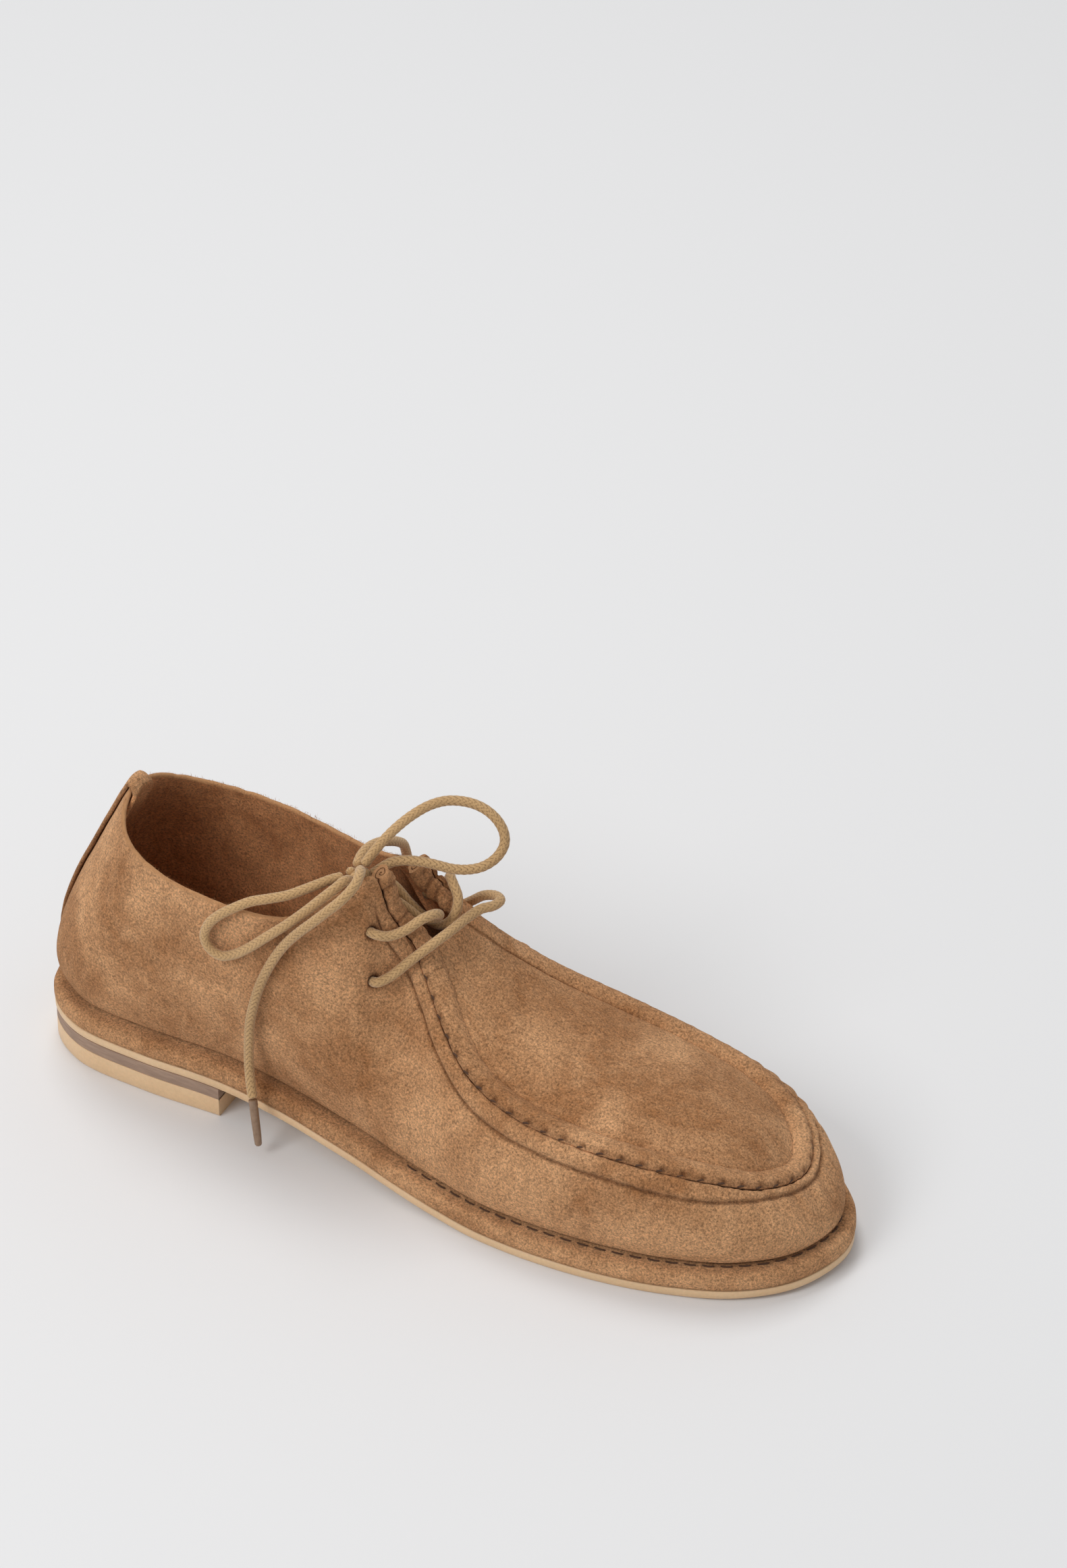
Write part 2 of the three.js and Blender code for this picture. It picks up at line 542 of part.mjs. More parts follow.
addLace('lace_loop_medial', [
  atKnot(0.25, 0.5, 0.83),
  ...points([[124, -7.6, 112.8], [126.6, -3.6, 117.2], [129.4, 1, 120.8], [132.6, 6, 123.6], [136.2, 11, 125.4],
    [140.2, 15, 126], [144.8, 17.8, 125.6], [149.5, 19.4, 124.6], [153.8, 20, 122.8], [157.6, 19.8, 120],
    [160, 19, 116.8], [160.8, 17.8, 113.4], [160.2, 15.8, 110.6], [158.6, 13.2, 108.4], [155.8, 10.4, 106.8],
    [151.9, 7.6, 106.3], [147.6, 5.2, 106.8], [143.8, 3.4, 108], [140, 1.8, 109], [136.4, 0.4, 109.4],
    [132.6, -1, 109.2], [128.8, -3, 108.2]]),
  atKnot(0.72, 0.66, 0.05),
]);
const tailRoutes = {
  lateral: [atKnot(0.4, -0.35, 0.85), ...points([[124.6, -16, 112.6], [127, -20.6, 115], [128, -26.2, 114.4],
    [125.6, -30.8, 110.8], [121.4, -33.4, 106.2], [116.6, -34.8, 100.8], [112, -35.4, 95.6], [108, -35.6, 90.6],
    [104.6, -36, 85.4], [101.2, -36.9, 78.8], [97.7, -37.9, 69.8], [95.4, -38.5, 61.5], [93.6, -38.7, 52.5],
    [92.8, -38.6, 43], [92.6, -38.8, 34], [93.4, -39.6, 27], [95, -41.2, 20.8]])],
  medial: [atKnot(-0.5, 0.8, 0.3), ...points([[118, -3.6, 107.8], [118, 2, 107.6], [118.8, 8, 105.8],
    [119.6, 13, 103], [119.8, 18, 99.4], [119.6, 22.6, 95], [118.8, 26, 89], [118, 29.2, 81], [117.4, 31.8, 72],
    [117.2, 34, 62], [117.2, 35.6, 52], [117.4, 36.8, 42], [117.8, 37.8, 33], [118.4, 39, 24]])],
};
// The moulded tips carry straight on from the tails.
for (const [name, route] of Object.entries(tailRoutes)) {
  addLace(`lace_tail_${name}`, route);
  const end = route.at(-1);
  const onward = end.clone().sub(route.at(-2)).normalize();
  const tip = new THREE.CylinderGeometry(AGLET / 2, AGLET / 2, AGLET_LENGTH, 8);
  const turn = new THREE.Quaternion().setFromUnitVectors(new THREE.Vector3(0, 1, 0), onward);
  const middle = end.clone().addScaledVector(onward, SEAT + AGLET_LENGTH / 2);
  add(`aglet_${name}`, tip.applyQuaternion(turn).translate(...middle.toArray()), aglet);
}

export default shoe;
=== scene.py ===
import bpy
import bmesh
import numpy as np
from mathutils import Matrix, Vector, noise


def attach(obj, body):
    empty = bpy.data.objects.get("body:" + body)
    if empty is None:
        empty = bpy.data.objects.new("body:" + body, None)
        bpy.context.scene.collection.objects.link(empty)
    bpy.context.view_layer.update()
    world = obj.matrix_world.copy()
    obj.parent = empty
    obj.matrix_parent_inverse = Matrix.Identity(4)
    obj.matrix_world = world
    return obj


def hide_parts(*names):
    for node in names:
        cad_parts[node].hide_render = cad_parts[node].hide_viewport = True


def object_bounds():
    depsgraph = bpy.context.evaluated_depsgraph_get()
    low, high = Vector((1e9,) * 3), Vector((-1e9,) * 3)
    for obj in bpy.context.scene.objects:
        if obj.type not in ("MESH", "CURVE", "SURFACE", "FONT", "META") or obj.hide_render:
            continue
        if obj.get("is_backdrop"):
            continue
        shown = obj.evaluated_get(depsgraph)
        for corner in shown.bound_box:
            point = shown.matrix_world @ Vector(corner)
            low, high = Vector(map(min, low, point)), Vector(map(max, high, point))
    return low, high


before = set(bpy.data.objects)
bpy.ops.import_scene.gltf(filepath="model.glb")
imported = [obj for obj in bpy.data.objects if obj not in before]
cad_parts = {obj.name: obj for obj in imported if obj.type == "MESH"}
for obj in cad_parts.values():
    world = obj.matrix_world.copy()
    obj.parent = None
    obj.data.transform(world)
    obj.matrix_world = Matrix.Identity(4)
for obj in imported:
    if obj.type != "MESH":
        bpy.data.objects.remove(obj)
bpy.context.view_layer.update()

# Camera: a long lens, high on the outer side of the shoe, a little behind its middle.
camera_data = bpy.data.cameras.new("camera")
camera_data.sensor_fit = "VERTICAL"
camera_data.sensor_height = 36
camera_data.lens = 141.25
camera_data.clip_end = 20
camera = bpy.data.objects.new("camera", camera_data)
camera.location = (0.7641, -1.4086, 1.3759)
aim = Vector((-0.0458, 0.1481, 0.030))
camera.rotation_euler = (aim - camera.location).to_track_quat("-Z", "Y").to_euler()
bpy.context.scene.collection.objects.link(camera)
bpy.context.scene.camera = camera

# Lace: one round braided cotton cord, 3.5 mm thick and about 0.75 m long, tied in a bow beside the
# top of the lateral facing. Its stretches follow these routes, heel to toe, in millimetres from
# the heel's back on the shoe's long axis, up from the floor.
MM = 0.001
HEEL_BACK = np.array([-149.9, 0.4, 0.0])     # where those millimetres start, in the frame
LACE = 3.5
KNOT = 7.6
KNOT_EXIT = KNOT / 2 + 0.75
KNOT_PLACE = np.array([121.4, -12.4, 105.8])
BRAID_STRANDS = 8                            # each way round the cord
BRAID_PITCH = 2.1                            # along the cord, one strand to the next
BRAID_DEPTH = 0.2
BRAID_STEP = 0.42                            # along the cord, one ring of its mesh to the next


def in_frame(points):
    return (np.asarray(points, float) + HEEL_BACK) * MM


def run_along(line):
    """How far along a line each of its points is."""
    return np.concatenate([[0], np.cumsum(np.linalg.norm(np.diff(line, axis=0), axis=1))])


def spline(points, closed=False):
    """The smooth curve through points, as a function of how many points along it is."""
    p = np.array(points, float)
    count = len(p)
    if closed:
        p = p[np.arange(-1, count + 2) % count]
    else:
        p = np.vstack([2 * p[0] - p[1], p, 2 * p[-1] - p[-2]])
    gap = np.sqrt(np.linalg.norm(np.diff(p, axis=0), axis=1))[:, None]
    a, b, c, d = p[:-3], p[1:-2], p[2:-1], p[3:]
    e, f, g = gap[:-2], gap[1:-1], gap[2:]
    leave = ((b - a) / e - (c - a) / (e + f) + (c - b) / f) * f
    arrive = ((c - b) / f - (d - b) / (f + g) + (d - c) / g) * f

    def at(t):
        t = np.asarray(t, float) % count if closed else np.asarray(t, float)
        i = np.clip(np.floor(t).astype(int), 0, len(b) - 1)
        w = (t - i)[..., None]
        square = 3 * (c - b)[i] - 2 * leave[i] - arrive[i]
        cube = 2 * (b - c)[i] + leave[i] + arrive[i]
        return b[i] + leave[i] * w + square * w ** 2 + cube * w ** 3
    return at


def evenly(points, step):
    """Points at equal steps along the smooth curve through points, and its length."""
    fine = spline(points)(np.linspace(0, len(points) - 1, 60 * len(points)))
    run = run_along(fine)
    wanted = np.linspace(0, run[-1], max(4, round(run[-1] / step)) + 1)
    return np.stack([np.interp(wanted, run, fine[:, k]) for k in range(3)], axis=1), run[-1]


def square_frames(line):
    """Two directions across a line at each of its points, carried along it without twist."""
    ahead = np.gradient(line, axis=0)
    ahead /= np.linalg.norm(ahead, axis=1)[:, None]
    side = np.cross(ahead[0], [0.3, 0.2, 1.0])
    sides = []
    for direction in ahead:
        side = side - direction * side.dot(direction)
        side = side / np.linalg.norm(side)
        sides.append(side)
    sides = np.array(sides)
    return ahead, sides, np.cross(ahead, sides)


def ringed(line, side, up, reach, turn):
    """Rings of points round a line, each at its reach and turn."""
    return (line[None] + (reach * np.cos(turn))[..., None] * side[None]
            + (reach * np.sin(turn))[..., None] * up[None])


def rounded(inset, thickness):
    """How full a sheet is at a distance in from its half-round edge."""
    return np.sqrt(1 - (1 - np.clip(inset / (thickness / 2), 0, 1)) ** 2)


def patch(points, marks=None):
    """A grid of faces laid over rows of points in millimetres, with named values at its points."""
    rows, columns = points.shape[:2]
    bm = bmesh.new()
    bmesh.ops.create_grid(bm, x_segments=columns - 1, y_segments=rows - 1, size=1)
    for vert, place in zip(bm.verts, in_frame(points).reshape(-1, 3)):
        vert.co = place
    for name, values in (marks or {}).items():
        layer = bm.verts.layers.float.new(name)
        for vert, value in zip(bm.verts, np.broadcast_to(values, (rows, columns)).reshape(-1)):
            vert[layer] = value
    return bm


def made(name, bm, material, merge=4e-6):
    """Closes a mesh's seams and ends, turns its faces outwards and makes it an object."""
    bmesh.ops.remove_doubles(bm, verts=bm.verts, dist=merge)
    bmesh.ops.dissolve_degenerate(bm, dist=merge / 4, edges=bm.edges)
    bmesh.ops.holes_fill(bm, edges=[edge for edge in bm.edges if edge.is_boundary], sides=0)
    bmesh.ops.recalc_face_normals(bm, faces=bm.faces)
    mesh = bpy.data.meshes.new(name)
    bm.to_mesh(mesh)
    bm.free()
    mesh.shade_smooth()
    mesh.set_sharp_from_angle(angle=np.radians(50))
    mesh.materials.append(material)
    piece = bpy.data.objects.new(name, mesh)
    bpy.context.scene.collection.objects.link(piece)
    return piece


def placed(piece, body, cad_node=None):
    """Puts a piece on the body it rides on, and hides the solid from model.glb that it stands for."""
    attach(piece, body)
    if cad_node:
        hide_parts(cad_node)
    return piece


def node(tree, kind, inputs=None, **settings):
    """A shader node with its settings, and its inputs set or linked."""
    new = tree.nodes.new(kind)
    for key, value in settings.items():
        setattr(new, key, value)
    for key, value in (inputs or {}).items():
        if isinstance(value, bpy.types.NodeSocket):
            tree.links.new(value, new.inputs[key])
        else:
            new.inputs[key].default_value = value
    return new


def new_material(name, **constants):
    """A material with its shader, whose even values are set on the shader itself."""
    material = bpy.data.materials.new(name)
    material.use_nodes = True
    shader = material.node_tree.nodes["Principled BSDF"]
    for key, value in constants.items():
        shader.inputs[key.replace("_", " ")].default_value = value
    return material, material.node_tree, shader


def mixed(tree, factor, first, second, blend="MIX"):
    """A mix of two colours by a factor."""
    mix = node(tree, "ShaderNodeMix", data_type="RGBA", blend_type=blend)
    for key, value in (("Factor_Float", factor), ("A_Color", first), ("B_Color", second)):
        socket = next(s for s in mix.inputs if s.identifier == key)
        if isinstance(value, bpy.types.NodeSocket):
            tree.links.new(value, socket)
        else:
            socket.default_value = value
    return next(s for s in mix.outputs if s.identifier == "Result_Color")


def grey(tree, value):
    """The same number as red, green and blue, to multiply a colour by."""
    return node(tree, "ShaderNodeCombineColor", {"Red": value, "Green": value, "Blue": value}).outputs["Color"]


def noisy(tree, place, scale, detail, **more):
    """A noise texture's value."""
    inputs = {"Vector": place, "Scale": scale, "Detail": detail, **more}
    return node(tree, "ShaderNodeTexNoise", inputs).outputs["Fac"]


def ranged(tree, value, low, high, to_low=0.0, to_high=1.0):
    """A value carried from one range to another."""
    inputs = {"Value": value, "From Min": low, "From Max": high, "To Min": to_low, "To Max": to_high}
    return node(tree, "ShaderNodeMapRange", inputs).outputs["Result"]


def surfaced(tree, shader, colour, height, depth):
    """Gives a shader its colour and the bump that a height makes."""
    tree.links.new(colour, shader.inputs["Base Color"])
    bump = node(tree, "ShaderNodeBump", {"Height": height, "Distance": depth})
    tree.links.new(bump.outputs["Normal"], shader.inputs["Normal"])


def two_toned(name, low, high, depth, kind, texture, stretch=None, **constants):
    """A material whose colour and bump both follow one texture."""
    material, tree, shader = new_material(name, **constants)
    place = node(tree, "ShaderNodeTexCoord").outputs["Object"]
    if stretch:
        place = node(tree, "ShaderNodeMapping", {"Vector": place, "Scale": stretch}).outputs["Vector"]
    pattern = node(tree, f"ShaderNodeTex{kind}", {"Vector": place, **texture})
    height = pattern.outputs["Distance" if kind == "Voronoi" else "Fac"]
    surfaced(tree, shader, mixed(tree, height, (*low, 1), (*high, 1)), height, depth)
    return material


def braided(name, route):
    """A stretch of the braided cord along a route: its strands pass two over, two under."""
    line, length = evenly(route, BRAID_STEP)
    _, side, up = square_frames(line)
    around = np.linspace(0, 1, 29)
    run = np.linspace(0, length, len(line))
    along, turn = np.meshgrid(run, around)
    left = turn * BRAID_STRANDS + along / BRAID_PITCH
    right = turn * BRAID_STRANDS - along / BRAID_PITCH
    over = (np.floor(left) + np.floor(right)) % 4 < 2
    strand = np.where(over, left, right) % 1
    crown = 1 - (2 * strand - 1) ** 2
    ends = np.clip(np.minimum(along, length - along) / (LACE / 3), 0, 1)
    radius = (LACE / 2 - BRAID_DEPTH * (1 - crown)) * np.sqrt(1 - (1 - ends) ** 2)
    points = ringed(line, side, up, radius, turn * 2 * np.pi)
    cord = made(name, patch(points, {"strand": crown}), lace_cotton)
    return cord, in_frame(line[::3]).tolist(), length * MM


def at_knot(x, y, z):
    towards = np.array([x, y, z])
    return KNOT_PLACE + towards / np.linalg.norm(towards) * KNOT_EXIT


lace_cotton, tree, shader = new_material("lace_cotton", Roughness=0.85, Sheen_Weight=0.25)
coordinates = node(tree, "ShaderNodeTexCoord").outputs["Object"]
strand_height = node(tree, "ShaderNodeAttribute", attribute_name="strand").outputs["Fac"]
fibre = noisy(tree, coordinates, 2600, 2)
# Painted shade: the gaps between the braid's strands are darkened towards deep brown.
groove_shade = ranged(tree, strand_height, 0.0, 0.75)
yarn = mixed(tree, noisy(tree, coordinates, 60, 2), (0.46, 0.275, 0.115, 1), (0.64, 0.405, 0.19, 1))
yarn = mixed(tree, groove_shade, (0.2, 0.11, 0.042, 1), yarn)
yarn = mixed(tree, 1.0, yarn, grey(tree, ranged(tree, fibre, 0.0, 1.0, 0.75, 1.25)), "MULTIPLY")
surfaced(tree, shader, yarn, fibre, 0.00012)

# The free loops and tails leave the knot and hang by their own weight; each rides on a body of its own.
loop_lateral_route = [
    at_knot(-0.85, -0.5, 0.15), (114.6, -17.4, 106.2), (111.2, -21.2, 105.4), (107.6, -24.2, 104),
    (103, -27.2, 102), (97, -29.6, 100), (91, -31.4, 97.8), (85.4, -34, 94.6), (80.4, -35.6, 90.6),
    (77, -36.3, 86), (76, -36.9, 81.2), (78, -37.3, 77.4), (82.4, -37.6, 76), (87.4, -37.4, 78.2),
    (93, -37, 82.8), (99, -35.8, 88.6), (106.2, -33.8, 95.4), (112.6, -31.2, 102),
    (117.4, -29, 107.4), (120.8, -26, 110.8), (121.9, -22.4, 111.4), (121.8, -18.9, 109.4),
    at_knot(-0.03, -0.97, 0.25)]
loop_medial_route = [
    at_knot(0.25, 0.5, 0.83), (124, -7.6, 112.8), (126.6, -3.6, 117.2), (129.4, 1, 120.8),
    (132.6, 6, 123.6), (136.2, 11, 125.4), (140.2, 15, 126), (144.8, 17.8, 125.6),
    (149.5, 19.4, 124.6), (153.8, 20, 122.8), (157.6, 19.8, 120), (160, 19, 116.8),
    (160.8, 17.8, 113.4), (160.2, 15.8, 110.6), (158.6, 13.2, 108.4), (155.8, 10.4, 106.8),
    (151.9, 7.6, 106.3), (147.6, 5.2, 106.8), (143.8, 3.4, 108), (140, 1.8, 109),
    (136.4, 0.4, 109.4), (132.6, -1, 109.2), (128.8, -3, 108.2), at_knot(0.72, 0.66, 0.05)]
tail_lateral_route = [
    at_knot(0.4, -0.35, 0.85), (124.6, -16, 112.6), (127, -20.6, 115), (128, -26.2, 114.4),
    (125.6, -30.8, 110.8), (121.4, -33.4, 106.2), (116.6, -34.8, 100.8), (112, -35.4, 95.6),
    (108, -35.6, 90.6), (104.6, -36, 85.4), (101.2, -36.9, 78.8), (97.7, -37.9, 69.8),
    (95.4, -38.5, 61.5), (93.6, -38.7, 52.5), (92.8, -38.6, 43), (92.6, -38.8, 34),
    (93.4, -39.6, 27), (95, -41.2, 20.8)]
tail_medial_route = [
    at_knot(-0.5, 0.8, 0.3), (118, -3.6, 107.8), (118, 2, 107.6), (118.8, 8, 105.8),
    (119.6, 13, 103), (119.8, 18, 99.4), (119.6, 22.6, 95), (118.8, 26, 89), (118, 29.2, 81),
    (117.4, 31.8, 72), (117.2, 34, 62), (117.2, 35.6, 52), (117.4, 36.8, 42), (117.8, 37.8, 33),
    (118.4, 39, 24)]

# Aglets: brown moulded tips, 17 mm long, crimped on the two ends of the lace.
AGLET_GAP = 0.3
aglet_plastic = two_toned("aglet_plastic", (0.17, 0.095, 0.05), (0.36, 0.235, 0.15), 0.00005, "Noise",
                          {"Scale": 700, "Detail": 4}, Roughness=0.38, Coat_Weight=0.15)


def moulded_tip(name, route):
    """A round tip on a route's end, with a shoulder where it grips the cord."""
    end = np.array(route[-1], float)
    onward = end - np.array(route[-2], float)
    onward /= np.linalg.norm(onward)
    shape = [(0, 0), (0, 1.25), (0.15, 1.5), (0.5, 1.55), (2.2, 1.55), (2.6, 1.42), (3.0, 1.42),
             (3.4, 1.52), (13, 1.4), (16.2, 1.25), (16.8, 0.95), (17, 0.5), (17, 0)]
    line = np.array([end + onward * (AGLET_GAP + along) for along, _ in shape])
    _, side, up = square_frames(end + np.outer(np.arange(len(shape)), onward))
    turn = np.linspace(0, 2 * np.pi, 25)[:, None]
    reach = np.array([radius for _, radius in shape])[None]
    return made(name, patch(ringed(line, side, up, reach, turn)), aglet_plastic)


for side_name, route in (("lateral", tail_lateral_route), ("medial", tail_medial_route)):
    tail, path, length = braided(f"lace_tail_{side_name}_braid", route)
    tip = moulded_tip(f"aglet_{side_name}_tip", route)
    placed(tail, f"{side_name}_tail", f"lace_tail_{side_name}")
    placed(tip, f"{side_name}_tail", f"aglet_{side_name}")

for side_name, route, stiffness in (("lateral", loop_lateral_route, "medium"),
                                    ("medial", loop_medial_route, "stiff")):
    loop, path, length = braided(f"lace_loop_{side_name}_braid", route)
    placed(loop, f"{side_name}_loop", f"lace_loop_{side_name}")

# The last: the form that the upper is pulled over. At each station round the shoe it gives the
# platform's edge (x, y) and the upper's top line (x, y, height above the platform).
STATIONS = [
    (0, -0.5, 28.5, 0, 82.5), (3, -19, 30, -11, 79.5), (18, -31, 36.5, -21, 75.5),
    (46, -34.7, 52, -28.5, 71.5), (80, -34.5, 78, -32, 70.5), (106, -36.3, 103, -31, 75),
    (121, -38.5, 118, -25.5, 86.5), (131, -40, 130, -17, 96), (138, -41.3, 135, -15, 82),
    (146, -43, 142, -13.5, 70.5), (156, -45, 150, -18, 61.5), (168, -47.2, 159, -25, 53),
    (184, -49.8, 172, -32.5, 44), (206, -51, 192, -38, 38.5), (230, -49.5, 218, -40, 36.5),
    (253, -45, 243, -37.5, 35), (276, -36.5, 263, -31, 31.5), (292.5, -22.5, 277, -19, 25),
    (300, -2, 283.5, -1, 20.3), (295.5, 13.5, 279.5, 13, 22), (281, 29, 268, 25, 26),
    (259, 43.5, 250, 32.5, 30), (232, 50, 225, 34.5, 35), (206, 50, 198, 32.5, 41.5),
    (184, 47, 176, 27, 50), (168, 42.8, 160, 20.5, 60), (156, 40, 151, 16.5, 67.5),
    (146, 37.8, 144, 14.5, 72.5), (138, 36.4, 138, 13.5, 77.5), (130, 35.5, 130, 14, 82.5),
    (118, 34.7, 117, 18, 76), (104, 34.2, 103, 22.5, 71), (80, 34.3, 79, 27, 69),
    (48, 35, 54, 26.5, 70), (19, 29.5, 37.5, 20, 74), (4, 17.5, 30.5, 10.5, 79)]
TURN = len(STATIONS)
TOE = TURN / 2
ROUND = np.linspace(0, TURN, 1441)
LENGTH = 300
HEEL_LENGTH = 77
TOP_PIECE = 7.8
LIFT = 5.2
OUTSOLE = 3.3
PLATFORM = 7
TOE_SPRING = 2.3
LEDGE = 6                   # platform that shows outside the upper
SUEDE = 1.8
SEAT = 0.3
# The wall's section, heel to toe: station, then out and up of the low handle and out and down of
# the high one, as shares of the wall's height.
BULGE = np.array([(0, 0.17, 0.11, 0.21, 0.40), (4, 0.11, 0.22, 0.07, 0.38), (8, 0.08, 0.28, 0.13, 0.30),
                  (13, 0.17, 0.28, 0.21, 0.25), (TOE, 0.27, 0.28, 0.28, 0.20)])
edge_curve = spline([(x, y, 0) for x, y, *_ in STATIONS], closed=True)
top_curve = spline([(x, y, height) for _, _, x, y, height in STATIONS], closed=True)


def smooth(t):
    t = np.clip(t, 0, 1)
    return t * t * (3 - 2 * t)


def sole_bottom(x):
    """Flat under the heel, down through the waist, and up a little at the toe."""
    waist = smooth((x - 0.2 * LENGTH) / (0.433 * LENGTH))
    spring = np.maximum(0, (x - 0.783 * LENGTH) / (0.217 * LENGTH))
    return (TOP_PIECE + LIFT) * (1 - waist) + TOE_SPRING * spring ** 2


def sole_top(x):
    return sole_bottom(x) + OUTSOLE


def platform_top(x):
    return sole_top(x) + PLATFORM


def plan(curve, station):
    """A curve's points and the level directions out of the shoe there."""
    step = curve(station + 0.02) - curve(station - 0.02)
    out = np.stack([step[..., 1], -step[..., 0], 0 * step[..., 0]], axis=-1)
    return curve(station), out / np.linalg.norm(out, axis=-1, keepdims=True)


def edge_points(station, inset, height):
    """Points in from the platform's edge, at a height above the floor given by their x."""
    at, out = plan(edge_curve, np.asarray(station, float))
    point = at - out * np.asarray(inset, float)[..., None]
    point[..., 2] = height(point[..., 0])
    return point


def rim_points(station, inward, up):
    """Points in from the upper's top line and up from it."""
    at, out = plan(top_curve, np.asarray(station, float))
    point = at - out * np.asarray(inward, float)[..., None]
    point[..., 2] = at[..., 2] + platform_top(at[..., 0]) + up
    return point


def nearer_way(station):
    """How many stations from the heel's back, by the shorter way round."""
    return np.minimum(station % TURN, TURN - station % TURN)


def wall_points(station, v):
    """The last's wall: v runs from the platform (0) to the top line (1)."""
    base = edge_points(station, LEDGE + 0 * v, lambda x: platform_top(x) + SEAT)
    top = rim_points(station, 0 * v, 0)
    _, out = plan(edge_curve, station)
    along = nearer_way(station)
    part = np.clip(np.searchsorted(BULGE[:, 0], along, side="right") - 1, 0, len(BULGE) - 2)
    share = smooth((along - BULGE[part, 0]) / (BULGE[part + 1, 0] - BULGE[part, 0]))[..., None]
    handles = BULGE[part, 1:] * (1 - share) + BULGE[part + 1, 1:] * share
    handles = handles * np.linalg.norm(base - top, axis=-1, keepdims=True)
    up = np.array([0, 0, 1.0])
    low = base + out * handles[..., 0:1] + up * handles[..., 1:2]
    high = top + out * handles[..., 2:3] - up * handles[..., 3:4]
    w = v[..., None]
    return (base * (1 - w) ** 3 + 3 * low * w * (1 - w) ** 2 + 3 * high * w ** 2 * (1 - w) + top * w ** 3)


def wall_normals(station, v):
    along = wall_points(station + 0.05, v) - wall_points(station - 0.05, v)
    upward = wall_points(station, np.minimum(1, v + 0.01)) - wall_points(station, np.maximum(0, v - 0.01))
    normal = np.cross(along, upward)
    return normal / np.linalg.norm(normal, axis=-1, keepdims=True)


def on_wall(station, v, outward):
    """Points off the last's wall, outward of it."""
    station, v = np.broadcast_arrays(np.asarray(station, float), np.asarray(v, float))
    outward = np.broadcast_to(outward, v.shape)
    return wall_points(station, v) + wall_normals(station, v) * outward[..., None]


def ripple(points, size, seed=0.0):
    """Smooth unevenness of about that size in millimetres, from -1 to 1."""
    flat = points.reshape(-1, 3) / size
    values = [noise.noise(Vector((x + seed, y, z))) for x, y, z in flat]
    return np.array(values).reshape(points.shape[:-1])


def new_group(name, inputs, outputs):
    """A shader node group with its sockets, and the nodes that they come in and go out by."""
    tree = bpy.data.node_groups.new(name, "ShaderNodeTree")
    for label, kind, value in inputs:
        socket = tree.interface.new_socket(label, in_out="INPUT", socket_type=kind)
        socket.default_value = value
    for label, kind in outputs:
        tree.interface.new_socket(label, in_out="OUTPUT", socket_type=kind)
    return tree, tree.nodes.new("NodeGroupInput").outputs, tree.nodes.new("NodeGroupOutput").inputs


# The nap of suede: large patches where it was brushed one way or the other, smaller streaks, and
# a grain of fibres that both darkens and lifts.
nap, given, out = new_group("suede_nap", [
    ("Dark", "NodeSocketColor", (0.3, 0.135, 0.05, 1)), ("Light", "NodeSocketColor", (0.5, 0.27, 0.12, 1)),
    ("Patches", "NodeSocketFloat", 30.0), ("Grain", "NodeSocketFloat", 1250.0)],
    [("Color", "NodeSocketColor"), ("Height", "NodeSocketFloat")])
coordinates = node(nap, "ShaderNodeTexCoord").outputs["Object"]
patches = noisy(nap, coordinates, given["Patches"], 3, Roughness=0.5, Distortion=0.8)
streak_place = node(nap, "ShaderNodeMapping", {"Vector": coordinates, "Scale": (1.0, 1.6, 0.55)})
streaks = noisy(nap, streak_place.outputs["Vector"], 120, 2, Roughness=0.5, Distortion=1.5)
grain = noisy(nap, coordinates, given["Grain"], 4, Roughness=0.85)
brushed = ranged(nap, patches, 0.38, 0.62)
streaked = ranged(nap, streaks, 0.3, 0.7)
blend = node(nap, "ShaderNodeMath", {0: brushed, 1: 0.7}, operation="MULTIPLY")
blend = node(nap, "ShaderNodeMath", {0: streaked, 1: 0.3, 2: blend.outputs["Value"]}, operation="MULTIPLY_ADD")
napped = mixed(nap, blend.outputs["Value"], given["Dark"], given["Light"])
napped = mixed(nap, 1.0, napped, grey(nap, ranged(nap, grain, 0.34, 0.66, 0.38, 1.62)), "MULTIPLY")
nap.links.new(napped, out["Color"])
lifted = node(nap, "ShaderNodeMath", {0: streaks, 1: 1.2, 2: grain}, operation="MULTIPLY_ADD")
nap.links.new(lifted.outputs["Value"], out["Height"])


def suede_material(name, dark, light, patches, depth):
    """Suede that is lighter on its cut edges, with painted shade darkening its creases, seams, holes and gaps,
    and its inner side lightened and warmed, partly its own tone and partly painted light.
    """
    material, tree, shader = new_material(name, Roughness=0.95, Sheen_Weight=0.2, Sheen_Roughness=0.45)
    shader.inputs["Specular IOR Level"].default_value = 0.12
    shader.inputs["Sheen Tint"].default_value = (0.95, 0.72, 0.5, 1)
    fibres = node(tree, "ShaderNodeGroup", node_tree=nap)
    for key, value in (("Dark", dark), ("Light", light), ("Patches", patches)):
        fibres.inputs[key].default_value = value
    colour = fibres.outputs["Color"]
    # Painted shade and painted light: the crease tone darkens creases, seams, holes and gaps where shade falls;
    # the inside tone lightens and warms the inner faces, partly as painted light for the dim interior.
    for attribute, tone in (("inside", (1.2, 1.05, 0.93, 1)), ("crease", (0.24, 0.16, 0.11, 1))):
        amount = node(tree, "ShaderNodeAttribute", attribute_name=attribute).outputs["Fac"]
        colour = mixed(tree, amount, colour, mixed(tree, 1.0, colour, tone, "MULTIPLY"))
    cut = node(tree, "ShaderNodeAttribute", attribute_name="cut").outputs["Fac"]
    colour = mixed(tree, cut, colour, (0.6, 0.31, 0.14, 1))
    surfaced(tree, shader, colour, fibres.outputs["Height"], depth)
    return material


suede = suede_material("suede", (0.39, 0.172, 0.066, 1), (0.72, 0.395, 0.195, 1), 26.0, 0.0007)

